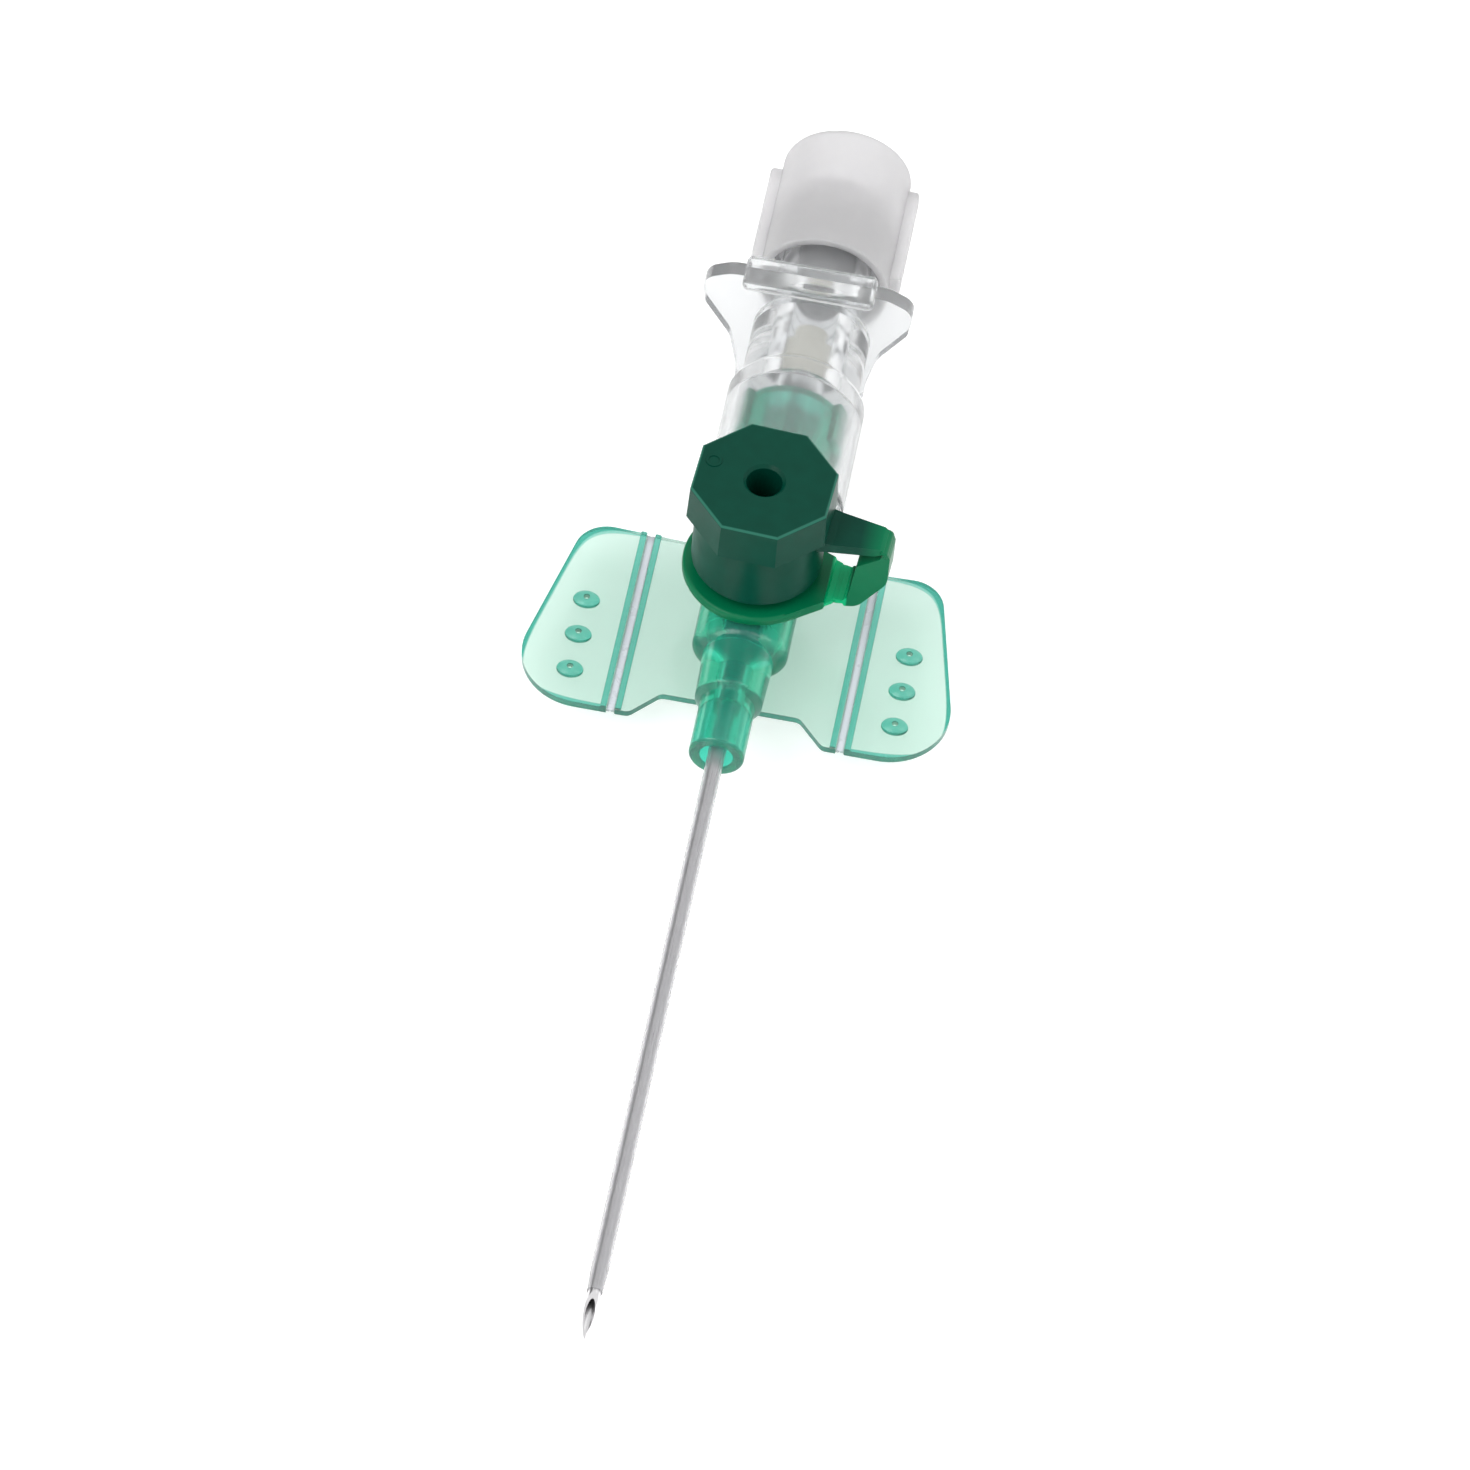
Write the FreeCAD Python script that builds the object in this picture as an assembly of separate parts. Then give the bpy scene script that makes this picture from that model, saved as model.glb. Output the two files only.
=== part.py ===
"""Winged intravenous cannula with an injection port, one solid per sub-part.

Lengths are in millimetres. The origin lies on the underside of the wings, straight
below the port's axis. +Z is the port's axis, the needle's axis runs along Y at
axis_z and the needle points along -Y. Radii and heights named "rel" are measured
from the needle's axis.
"""
import FreeCAD, Part
import math
import os

# Steel needle
needle_od = 0.90
needle_bore = 0.62
needle_past_catheter = 3.50
needle_tail_setback = 0.30
bevel_length = 3.30
lancet_length = 1.50
lancet_turn_deg = 32.0

# Catheter tube and its steel eyelet
catheter_clearance = 0.04
catheter_wall = 0.12
catheter_swell = 0.02
catheter_swell_length = 0.60
catheter_length = 45.0
tip_taper_length = 2.20
tip_wall = 0.05
tip_clearance = 0.02
eyelet_wall = 0.10
eyelet_length = 1.50
eyelet_mouth_length = 1.40
flare_length = 0.60

# Hub of the catheter: nose, neck, barrel and luer end
axis_z = 3.10
nose_y = -14.65
nose_recess_gap = 0.54
nose_recess_depth = 4.20
tube_seat_length = 1.20
nose_wall = 0.78
nose_length = 4.50
neck_step = 0.42
neck_draft = 0.14
neck_back_y = -5.40
barrel_radius = 2.66
barrel_back_y = 7.30
barrel_round = 0.30
cheek_half = 3.35
cheek_half_height = 2.55
cheek_front_y = -6.20
cheek_corner = 1.15
cheek_back_y = 6.40
saddle_half = 2.20
keel_half = 1.30
recess_draft = 0.20
luer_face_y = 16.10
luer_mouth_radius = 2.15
luer_taper = 0.03
luer_depth = 8.00
luer_wall = 1.25
lug_reach = 0.45
lug_length = 3.20
lug_span_deg = 76.0
lumen_radius = 1.90
edge_round = 0.25
thin_gap = 0.01
overrun = 1.0

# Silicone port valve
valve_length = 7.60
valve_groove = 0.10
valve_wall = 0.45

# Injection port on top of the barrel
port_height = 5.05
port_wall = 0.72
port_luer_depth = 4.30
port_throat_radius = 1.10
port_collar_radius = 3.45
ring_lift = 0.08
ring_seat_step = 0.25
ring_bead = 0.28
ring_bead_height = 0.40

# Wings
wing_thickness = 0.55
wing_half_span = 16.05
wing_front_y = -10.10
wing_back_y = 5.85
wing_notch_y = -8.05
wing_root_back_y = 5.35
wing_notch_x = 4.85
wing_step_x = 6.75
wing_side_lean = 3.45
wing_front_corner = 4.40
wing_back_corner = 2.40
wing_notch_round = 0.70
fold_x = 8.02
fold_land_half = 0.29
fold_film = 0.20
fold_gap = 0.06
fold_rib_width = 0.45
fold_rib_height = 0.18
stud_x = 11.38
stud_mid_y = -4.20
stud_pitch = 3.13
stud_long_radius = 0.95
stud_aspect = 0.80
stud_rise = 0.42
stud_pit_radius = 0.24
stud_pit_depth = 0.30

# Port cap, its strap and its ring
cap_clock_deg = -2.8
cap_octagon_radius = 5.14
cap_top_height = 9.60
cap_head_height = 3.25
cap_head_draft = 0.10
cap_edge_chamfer = 0.18
cap_skirt_radius = 4.55
cap_skirt_wall = 0.58
cap_skirt_draft = 0.05
cap_skirt_base_height = 1.65
cap_roof_gap = 0.30
cap_plug_depth = 1.50
cap_plug_gap = 0.16
cap_plug_taper = 0.50
cap_recess_radius = 1.25
cap_recess_depth = 4.40
cap_recess_chamfer = 0.22
cap_recess_draft = 0.05
cap_mark_radius = 0.55
cap_mark_width = 0.16
cap_mark_rise = 0.06
cap_mark_x = -3.72
cap_mark_y = 0.80
ring_radius = 5.10
ring_thickness = 0.80
ring_clearance = 0.05
ring_round = 0.26
tongue_front_half = 4.10
tongue_back_half = 2.55
tongue_front_x = 2.90
tongue_back_x = 3.50
strap_thickness = 0.80
strap_film = 0.30
strap_film_round = 0.14
strap_root_width = 3.40
strap_taper = 0.10
strap_fold_width = 1.90
strap_heel_x = 7.45
strap_heel_round = 0.90
strap_outer_rise = 2.20
strap_outer_round = 1.50
strap_inner_foot_x = 6.74
strap_inner_foot_round = 0.15
strap_inner_top_x = 7.10
strap_inner_rise = 3.90
strap_inner_round = 0.50
strap_outer_top_reach = 0.30
strap_inner_top_reach = 0.36
band_root_width = 3.60
band_root_reach = 0.80
band_root_rise = 0.15
ring_hinge_x = 5.90
fold_hinge_x = 9.00
fold_hinge_height = 5.80
hinge_gap = 0.06
fold_hinge_gap = 0.17
film_length = 0.62
film_ramp = 0.12

# Clear needle hub
skirt_overlap = 7.80
skirt_radius = 4.90
skirt_wall = 0.72
skirt_floor = 1.00
skirt_floor_gap = 0.60
skirt_round = 0.60
skirt_rim_round = 0.29
shoulder_length = 0.80
neck_past_plate = 0.30
nose_luer_clearance = 0.03
nose_luer_length = 7.00
neck_radius = 4.20
plate_setback = 7.30
plate_offset = -0.45
plate_thickness = 1.15
plate_ear_half = 7.40
plate_ear_rel = 3.75
plate_ear_round = 1.35
plate_ear_rise = 1.15
plate_ear_drop = 1.25
plate_ear_lean = 0.15
plate_ear_low_round = 0.95
plate_top_rel = 6.00
plate_top_drop = 0.15
plate_shoulder_half = 5.60
plate_shoulder_round = 2.20
plate_hip_half = 5.30
plate_hip_rel = -0.60
plate_hip_round = 3.00
plate_waist_half = 4.70
plate_waist_rel = -3.50
plate_waist_round = 2.00
plate_foot_half = 4.60
plate_foot_rel = -5.50
plate_foot_round = 0.80
bar_half = 4.68
bar_depth = 2.70
bar_height = 1.15
bar_sink = 0.89
bar_setback = 0.85
bar_round = 0.44
rear_tube_length = 8.50
rear_luer_depth = 7.80
rear_luer_wall = 1.05
rear_lug_length = 2.00

# Cream needle holder inside the clear hub
holder_radius = 1.65
holder_length = 5.00
holder_nib_radius = 1.15
holder_nib_length = 1.60
holder_gap = 2.85
holder_groove_setback = 1.10
holder_groove_width = 0.40
holder_groove_depth = 0.33

# Frosted luer stopper and its vent filter
stopper_radius = 4.65
stopper_mouth_gap = 4.45
stopper_tail = 6.75
stopper_collar_gap = 0.28
stopper_seat_gap = 0.30
stopper_round = 0.35
stopper_cone_length = 7.00
stopper_well_radius = 3.70
stopper_well_depth = 4.20
stopper_well_draft = 0.10
stopper_rib_reach = 0.78
stopper_rib_width = 1.50
stopper_rib_lead = 0.90
stopper_rib_setback = 1.40
vent_radius = 0.50
filter_radius = 1.22
filter_clearance = 0.03
filter_length = 4.60
filter_setback = 3.20

V = FreeCAD.Vector

# Radii and places that follow from the sizes above
needle_radius = needle_od / 2
catheter_bore_radius = needle_radius + catheter_clearance
catheter_radius = catheter_bore_radius + catheter_wall
catheter_held_radius = catheter_radius + catheter_swell
catheter_tip_y = nose_y - catheter_length
needle_tip_y = catheter_tip_y - needle_past_catheter
nose_recess_radius = catheter_radius + nose_recess_gap
nose_radius = nose_recess_radius + nose_wall
recess_end_y = nose_y + nose_recess_depth
step_y = nose_y + nose_length
neck_front_radius = nose_radius + neck_step
neck_back_radius = neck_front_radius + neck_draft
eyelet_bore_radius = catheter_bore_radius
eyelet_radius_out = eyelet_bore_radius + eyelet_wall
flare_radius = eyelet_radius_out + catheter_wall
flare_front_y = recess_end_y + tube_seat_length
flare_full_y = flare_front_y + flare_length
eyelet_back_y = flare_full_y + eyelet_length
funnel_back_y = eyelet_back_y + eyelet_mouth_length
luer_bottom_y = luer_face_y - luer_depth
luer_outer_radius = luer_mouth_radius + luer_wall
lug_radius = luer_outer_radius + lug_reach
port_radius = luer_mouth_radius + port_wall
port_seat_radius = port_radius + ring_seat_step
ring_base_z = axis_z + barrel_radius + ring_lift
ring_mid_z = ring_base_z + ring_thickness / 2
port_top_z = ring_base_z + port_height
cap_top_z = ring_base_z + cap_top_height
cap_base_z = ring_base_z + cap_skirt_base_height
ring_bore_radius = port_seat_radius + ring_clearance
fold_z = wing_thickness / 2
fold_hinge_z = ring_base_z + fold_hinge_height
fold_lip_offset = fold_gap / 2 + fold_film / 2
fold_rib_offset = fold_land_half + fold_rib_width / 2
tongue_end_x = ring_hinge_x - hinge_gap
strap_start_x = ring_hinge_x + hinge_gap
strap_top_z = fold_hinge_z - fold_hinge_gap
band_end_x = fold_hinge_x - fold_hinge_gap
cap_neck_z = cap_top_z - cap_head_height
skirt_front_y = luer_face_y - skirt_overlap
skirt_floor_y = luer_face_y + skirt_floor_gap
skirt_shoulder_y = skirt_floor_y + skirt_floor
skirt_bore_radius = skirt_radius - skirt_wall
plate_front_y = luer_face_y + plate_setback
plate_back_y = plate_front_y + plate_thickness
rear_face_y = plate_back_y + rear_tube_length
rear_luer_bottom_y = rear_face_y - rear_luer_depth
rear_tube_radius = luer_mouth_radius + rear_luer_wall
stopper_mouth_y = plate_back_y + stopper_mouth_gap
stopper_back_y = rear_face_y + stopper_tail
stopper_seat_y = rear_face_y + stopper_seat_gap
stopper_bore_radius = lug_radius + stopper_collar_gap
cone_tip_y = rear_face_y - stopper_cone_length
filter_front_y = cone_tip_y + filter_setback
filter_back_y = filter_front_y + filter_length
nose_luer_tip_y = luer_face_y - nose_luer_length
holder_nib_back_y = cone_tip_y - holder_gap
holder_step_y = holder_nib_back_y - holder_nib_length
holder_front_y = holder_nib_back_y - holder_length
needle_tail_y = holder_nib_back_y - needle_tail_setback
well_floor_y = stopper_back_y - stopper_well_depth


def on_axis(radius, y):
    """Place a profile point beside the needle's axis."""
    return V(radius, y, axis_z)


def beside_port(radius, z):
    """Place a profile point beside the port's axis."""
    return V(radius, 0, z)


def seen_from_above(x, y):
    """Place an outline point on the plane of the wings' underside."""
    return V(x, y, 0)


def seen_from_front(x, rel):
    """Place an outline point on the front face of the grip plate."""
    return V(x, plate_front_y, axis_z + rel)


def seen_from_side(x, z):
    """Place an outline point on the plane through the port's axis and the strap."""
    return V(x, 0, z)


def outline(corners, place):
    """Closed face through (u, v) or (u, v, radius) corners, round where a radius is given."""
    count = len(corners)
    starts, arcs = [], []
    for index, corner in enumerate(corners):
        here = V(corner[0], corner[1], 0)
        before = V(*corners[index - 1][:2], 0) - here
        after = V(*corners[(index + 1) % count][:2], 0) - here
        radius = corner[2] if len(corner) > 2 else 0
        if radius == 0:
            starts.append((here, here))
            arcs.append(None)
            continue
        before.normalize()
        after.normalize()
        half = before.getAngle(after) / 2
        reach = radius / math.tan(half)
        bisector = (before + after).normalize()
        crown = here + bisector * (radius / math.sin(half) - radius)
        starts.append((here + before * reach, here + after * reach))
        arcs.append(crown)
    edges = []
    for index in range(count):
        first, last = starts[index]
        if arcs[index] is not None:
            ends = [place(p.x, p.y) for p in (first, arcs[index], last)]
            edges.append(Part.Arc(*ends).toShape())
        following = starts[(index + 1) % count][0]
        if (following - last).Length > 1e-6:
            edges.append(Part.LineSegment(place(last.x, last.y), place(following.x, following.y)).toShape())
    return Part.Face(Part.Wire(edges))


def spun_on_axis(corners):
    """Solid of revolution about the needle's axis from (radius, y) corners."""
    return outline(corners, on_axis).revolve(V(0, 0, axis_z), V(0, 1, 0), 360)


def spun_on_port(corners):
    """Solid of revolution about the port's axis from (radius, z) corners."""
    return outline(corners, beside_port).revolve(V(0, 0, 0), V(0, 0, 1), 360)


def rod_on_axis(radius, front_y, back_y):
    """Round bar along the needle's axis."""
    return Part.makeCylinder(radius, back_y - front_y, V(0, front_y, axis_z), V(0, 1, 0))


def rod_on_port(radius, base_z, top_z):
    """Round bar along the port's axis."""
    return Part.makeCylinder(radius, top_z - base_z, V(0, 0, base_z), V(0, 0, 1))


def sector_on_axis(inner, outer, front_y, back_y, middle_deg, span_deg):
    """Piece of a tube about the needle's axis, centred on an angle from +X towards +Z."""
    ring = outline([(inner, front_y), (outer, front_y), (outer, back_y), (inner, back_y)], on_axis)
    ring.rotate(V(0, 0, axis_z), V(0, 1, 0), -(middle_deg - span_deg / 2))
    return ring.revolve(V(0, 0, axis_z), V(0, -1, 0), span_deg)


def mirrored(shape):
    """The same shape on the other side of the plane x = 0."""
    return shape.mirror(V(0, 0, 0), V(1, 0, 0))


def clocked(shape):
    """Turn a cap piece with the octagon about the port's axis."""
    shape.rotate(V(0, 0, 0), V(0, 0, 1), cap_clock_deg)
    return shape


def luer_radius(face_y, y):
    """Radius of a female luer cone whose mouth is at face_y, at a place y inside it."""
    return luer_mouth_radius - luer_taper * abs(face_y - y)


def make_needle():
    """Hollow steel needle with a back bevel and two lancet facets."""
    tube = rod_on_axis(needle_radius, needle_tip_y, needle_tail_y)
    tube = tube.cut(rod_on_axis(needle_bore / 2, needle_tip_y - overrun, needle_tail_y + overrun))
    tip = V(0, needle_tip_y, axis_z - needle_radius)
    bevel_deg = math.degrees(math.atan2(needle_od, bevel_length))
    block = 4 * bevel_length
    cutter = Part.makeBox(2 * block, 2 * block, block, tip + V(-block, -block, 0))
    bevel = cutter.copy()
    bevel.rotate(tip, V(1, 0, 0), bevel_deg)
    tube = tube.cut(bevel)
    lancet_deg = math.degrees(math.atan2(needle_radius, lancet_length))
    for side in (-1, 1):
        facet = cutter.copy()
        facet.rotate(tip, V(1, 0, 0), lancet_deg)
        facet.rotate(tip, V(0, 1, 0), side * lancet_turn_deg)
        tube = tube.cut(facet)
    return tube


def make_catheter_tube():
    """Clear catheter tube, tapered at its tip and flared over the eyelet."""
    taper_y = catheter_tip_y + tip_taper_length
    tip_bore = needle_radius + tip_clearance
    return spun_on_axis([
        (tip_bore, catheter_tip_y),
        (tip_bore + tip_wall, catheter_tip_y),
        (catheter_radius, taper_y),
        (catheter_radius, nose_y),
        (catheter_held_radius, nose_y + catheter_swell_length),
        (catheter_held_radius, flare_front_y),
        (flare_radius, flare_full_y),
        (flare_radius, eyelet_back_y),
        (eyelet_radius_out, eyelet_back_y),
        (eyelet_radius_out, flare_full_y),
        (catheter_bore_radius, flare_front_y),
        (catheter_bore_radius, taper_y),
    ])


def make_catheter_eyelet():
    """Steel funnel that pinches the flared tube in the hub."""
    mouth_radius = lumen_radius - eyelet_wall - thin_gap
    return spun_on_axis([
        (eyelet_bore_radius, flare_full_y),
        (eyelet_radius_out, flare_full_y),
        (eyelet_radius_out, eyelet_back_y),
        (mouth_radius, funnel_back_y),
        (mouth_radius - eyelet_wall, funnel_back_y),
        (eyelet_bore_radius, eyelet_back_y + eyelet_wall / 2),
    ])


def hub_body():
    """Turned form of the hub: nose, neck, barrel and luer end."""
    return spun_on_axis([
        (0, nose_y),
        (nose_radius, nose_y, edge_round),
        (nose_radius, step_y),
        (neck_front_radius, step_y + neck_step, edge_round),
        (neck_back_radius, neck_back_y - barrel_round, edge_round / 2),
        (barrel_radius, neck_back_y, barrel_round),
        (barrel_radius, barrel_back_y, barrel_round),
        (luer_outer_radius, luer_face_y - lug_length - edge_round, edge_round / 2),
        (luer_outer_radius, luer_face_y, edge_round / 2),
        (0, luer_face_y),
    ])


def hub_saddle():
    """Oval body round the barrel, the block under it that stands on the wings, and the neck's keel."""
    body = spun_on_axis([
        (0, cheek_front_y),
        (cheek_half_height, cheek_front_y, cheek_corner),
        (cheek_half_height, cheek_back_y, edge_round),
        (0, cheek_back_y),
    ])
    widen = FreeCAD.Matrix()
    widen.scale(cheek_half / cheek_half_height, 1, 1)
    body = body.transformGeometry(widen)
    block_front_y = cheek_front_y + cheek_corner
    block = Part.makeBox(2 * saddle_half, cheek_back_y - edge_round - block_front_y, axis_z,
                         V(-saddle_half, block_front_y, 0))
    keel = Part.makeBox(2 * keel_half, block_front_y - wing_notch_y + edge_round, axis_z - lumen_radius,
                        V(-keel_half, wing_notch_y, 0))
    return body.fuse(block).fuse(keel)


def hub_lumen():
    """Everything that is hollow along the needle's axis in the hub."""
    seat_bore = flare_radius + thin_gap
    recess = spun_on_axis([
        (0, nose_y - overrun),
        (nose_recess_radius + edge_round / 2, nose_y - overrun),
        (nose_recess_radius + edge_round / 2, nose_y),
        (nose_recess_radius, nose_y + edge_round / 2),
        (nose_recess_radius - recess_draft / 2, recess_end_y, edge_round),
        (0, recess_end_y),
    ])
    bore = spun_on_axis([
        (0, recess_end_y - edge_round),
        (catheter_held_radius + thin_gap, recess_end_y - edge_round),
        (catheter_held_radius + thin_gap, flare_front_y - thin_gap),
        (seat_bore, flare_full_y - thin_gap),
        (seat_bore, eyelet_back_y),
        (lumen_radius, funnel_back_y),
        (lumen_radius, luer_bottom_y),
        (luer_radius(luer_face_y, luer_bottom_y), luer_bottom_y),
        (luer_mouth_radius, luer_face_y),
        (luer_mouth_radius, luer_face_y + overrun),
        (0, luer_face_y + overrun),
    ])
    groove = rod_on_axis(lumen_radius + valve_groove, -valve_length / 2, valve_length / 2)
    return recess.fuse(bore).fuse(groove)


def port_tower():
    """Injection port: collar, ring seat, bead and luer tube."""
    seat = port_seat_radius
    top = ring_base_z + ring_thickness + ring_clearance
    return spun_on_port([
        (0, axis_z),
        (port_collar_radius, axis_z),
        (port_collar_radius, ring_base_z - ring_clearance, edge_round / 2),
        (seat, ring_base_z - ring_clearance),
        (seat, top),
        (seat + ring_bead, top + ring_bead_height / 2, ring_bead / 2),
        (seat, top + ring_bead_height),
        (port_radius, top + ring_bead_height + edge_round, edge_round / 2),
        (port_radius, port_top_z, edge_round),
        (0, port_top_z),
    ])


def port_bore():
    """Luer socket of the port and the throat down to the valve."""
    floor_z = port_top_z - port_luer_depth
    small = luer_radius(port_top_z, floor_z)
    return spun_on_port([
        (0, axis_z),
        (port_throat_radius, axis_z),
        (port_throat_radius, floor_z),
        (small, floor_z, edge_round),
        (luer_mouth_radius, port_top_z),
        (luer_mouth_radius, port_top_z + overrun),
        (0, port_top_z + overrun),
    ])


def wing_sheet(height):
    """Full outline of the right wing from the centreline out, as a flat sheet."""
    side_top = wing_half_span - wing_side_lean
    face = outline([
        (0, wing_notch_y),
        (wing_notch_x, wing_notch_y, wing_notch_round),
        (wing_step_x, wing_front_y, wing_notch_round),
        (wing_half_span, wing_front_y, wing_front_corner),
        (side_top, wing_back_y, wing_back_corner),
        (0, wing_root_back_y),
    ], seen_from_above)
    return face.extrude(V(0, 0, height))


def fold_zone(inner_x, outer_x, base_z, top_z):
    """Block across the whole wing between two distances from the centreline."""
    depth = wing_back_y - wing_front_y + 2 * overrun
    return Part.makeBox(outer_x - inner_x, depth, top_z - base_z, V(inner_x, wing_front_y - overrun, base_z))


def fold_rib(middle_x):
    """Rounded stiffening rib beside the fold, proud of both faces of the wing."""
    total = wing_thickness + fold_rib_height
    rib = Part.makeBox(fold_rib_width, wing_back_y - wing_front_y + 2 * overrun, total,
                       V(middle_x - fold_rib_width / 2, wing_front_y - overrun, 0))
    along = [edge for edge in rib.Edges
             if edge.BoundBox.YLength > overrun and edge.CenterOfMass.z > wing_thickness]
    return rib.makeFillet(fold_rib_width / 3, along)


def thinned_for_fold(sheet):
    """Leave only the film between the two ribs of a fold, on the wing's mid-plane."""
    inner, outer = fold_x - fold_land_half, fold_x + fold_land_half
    below = fold_zone(inner, outer, -overrun, fold_z - fold_film / 2)
    above = fold_zone(inner, outer, fold_z + fold_film / 2, wing_thickness + overrun)
    return sheet.cut(below).cut(above)


def rib_on_sheet(sheet, middle_x):
    """The part of a fold rib that stands on the wing's own outline."""
    return sheet.fuse(fold_rib(middle_x).common(wing_sheet(2 * wing_thickness)))


def film_lip(middle_x):
    """Rounded lip where the film of a fold ends."""
    lip = Part.makeCylinder(fold_film / 2, wing_back_y - wing_front_y + 2 * overrun,
                            V(middle_x, wing_front_y - overrun, fold_z), V(0, 1, 0))
    return lip.common(wing_sheet(wing_thickness))


def wing_root():
    """Part of the right wing between the barrel and the fold."""
    lip_x = fold_x - fold_lip_offset
    sheet = rib_on_sheet(wing_sheet(wing_thickness), fold_x - fold_rib_offset)
    sheet = thinned_for_fold(sheet)
    sheet = sheet.cut(fold_zone(lip_x, wing_half_span + overrun, -overrun, wing_thickness + overrun))
    return sheet.fuse(film_lip(lip_x))


def wing_stud(spot):
    """Low oval dome on a wing, with a small pit in its crown."""
    dome = Part.makeSphere(stud_long_radius)
    squash = FreeCAD.Matrix()
    squash.scale(1, stud_aspect, stud_rise / stud_long_radius)
    dome = dome.transformGeometry(squash)
    dome.translate(spot)
    pit = Part.makeCone(stud_pit_radius / 2, stud_pit_radius, stud_pit_depth,
                        spot + V(0, 0, stud_rise - stud_pit_depth + thin_gap))
    above = Part.makeCylinder(2 * stud_long_radius, 2 * stud_rise, spot - V(0, 0, wing_thickness / 2))
    return dome.common(above).cut(pit)


def make_right_wing():
    """Right wing panel outside the fold, with its three studs."""
    lip_x = fold_x + fold_lip_offset
    panel = rib_on_sheet(wing_sheet(wing_thickness), fold_x + fold_rib_offset)
    panel = thinned_for_fold(panel)
    panel = panel.cut(fold_zone(-overrun, lip_x, -overrun, wing_thickness + overrun))
    panel = panel.fuse(film_lip(lip_x))
    for step in (-1, 0, 1):
        panel = panel.fuse(wing_stud(V(stud_x, stud_mid_y + step * stud_pitch, wing_thickness)))
    return panel


def make_catheter_hub():
    """Green moulding of barrel, port, luer lugs and the two wing roots."""
    hub = hub_body().fuse(port_tower())
    for middle in (0, 180):
        hub = hub.fuse(sector_on_axis(luer_outer_radius - edge_round, lug_radius,
                                      luer_face_y - lug_length, luer_face_y, middle, lug_span_deg))
    hub = hub.fuse(hub_saddle())
    root = wing_root()
    hub = hub.fuse(root).fuse(mirrored(root))
    hub = hub.cut(hub_lumen()).cut(port_bore())
    return hub.removeSplitter()


def make_port_valve():
    """Silicone sleeve that closes the port from inside the lumen."""
    outer = lumen_radius + valve_groove - thin_gap
    half = valve_length / 2 - thin_gap
    return spun_on_axis([
        (outer - valve_wall, -half), (outer, -half), (outer, half), (outer - valve_wall, half),
    ])


def strap_band(width_root, width_fold, x_root, x_fold, base_z, top_z):
    """Tapering block that trims a strap profile to its width, seen from above."""
    face = outline([
        (x_root, -width_root / 2),
        (x_fold, -width_fold / 2),
        (x_fold, width_fold / 2),
        (x_root, width_root / 2),
    ], seen_from_above)
    face.translate(V(0, 0, base_z))
    return face.extrude(V(0, 0, top_z - base_z))


def make_cap_ring():
    """Ring that turns on the port's seat, with the tongue that ends at the film hinge."""
    ring = spun_on_port([
        (ring_bore_radius, ring_base_z),
        (ring_radius, ring_base_z, ring_round),
        (ring_radius, ring_base_z + ring_thickness, ring_round),
        (ring_bore_radius, ring_base_z + ring_thickness),
    ])
    end_x = tongue_end_x
    film = strap_film / 2
    ring_top_z = ring_base_z + ring_thickness
    tongue = outline([
        (tongue_front_x, ring_base_z),
        (end_x - film_length, ring_base_z),
        (end_x - film_length + film_ramp, ring_mid_z - film),
        (end_x, ring_mid_z - film, strap_film_round),
        (end_x, ring_mid_z + film, strap_film_round),
        (end_x - film_length + film_ramp, ring_mid_z + film),
        (end_x - film_length, ring_top_z),
        (tongue_front_x, ring_top_z),
    ], seen_from_side)
    tongue = tongue.extrude(V(0, ring_radius * 2, 0))
    tongue.translate(V(0, -ring_radius, 0))
    fan = outline([
        (tongue_front_x, -tongue_front_half),
        (end_x, -strap_root_width / 2),
        (end_x, strap_root_width / 2),
        (tongue_back_x, tongue_back_half),
    ], seen_from_above)
    fan.translate(V(0, 0, ring_base_z - overrun))
    tongue = tongue.common(fan.extrude(V(0, 0, ring_thickness + 2 * overrun)))
    tongue = tongue.cut(rod_on_port(ring_bore_radius, ring_base_z - overrun, ring_top_z + overrun))
    return clocked(ring.fuse(tongue).removeSplitter())


def make_cap_strap():
    """Middle link of the strap, between the film hinge at the ring and the outer fold."""
    half = strap_thickness / 2
    film = strap_film / 2
    thick_x = strap_start_x + film_length
    side = outline([
        (strap_start_x, ring_mid_z - film, strap_film_round),
        (thick_x - film_ramp, ring_mid_z - film),
        (thick_x, ring_mid_z - half),
        (strap_heel_x, ring_mid_z - half, strap_heel_round),
        (fold_hinge_x + strap_outer_top_reach - thin_gap, ring_mid_z + strap_outer_rise, strap_outer_round),
        (fold_hinge_x + strap_outer_top_reach, strap_top_z - half),
        (fold_hinge_x + film, strap_top_z, strap_film_round),
        (fold_hinge_x - film, strap_top_z, strap_film_round),
        (fold_hinge_x - strap_inner_top_reach, strap_top_z - half),
        (strap_inner_top_x, ring_mid_z + strap_inner_rise, strap_inner_round),
        (strap_inner_foot_x, ring_mid_z + half, strap_inner_foot_round),
        (thick_x, ring_mid_z + half),
        (thick_x - film_ramp, ring_mid_z + film),
        (strap_start_x, ring_mid_z + film, strap_film_round),
    ], seen_from_side)
    link = side.extrude(V(0, strap_root_width, 0))
    link.translate(V(0, -strap_root_width / 2, 0))
    trim = strap_band(strap_root_width - strap_taper, strap_fold_width, ring_hinge_x, fold_hinge_x + half,
                      ring_base_z - overrun, fold_hinge_z + overrun)
    return clocked(link.common(trim).removeSplitter())


def octagon(radius, z):
    """Octagonal wire about the port's axis with a flat towards the strap."""
    angles = [math.radians(22.5 + 45 * corner) for corner in range(8)]
    points = [V(radius * math.cos(angle), radius * math.sin(angle), z) for angle in angles]
    return Part.makePolygon(points + points[:1])


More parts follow.
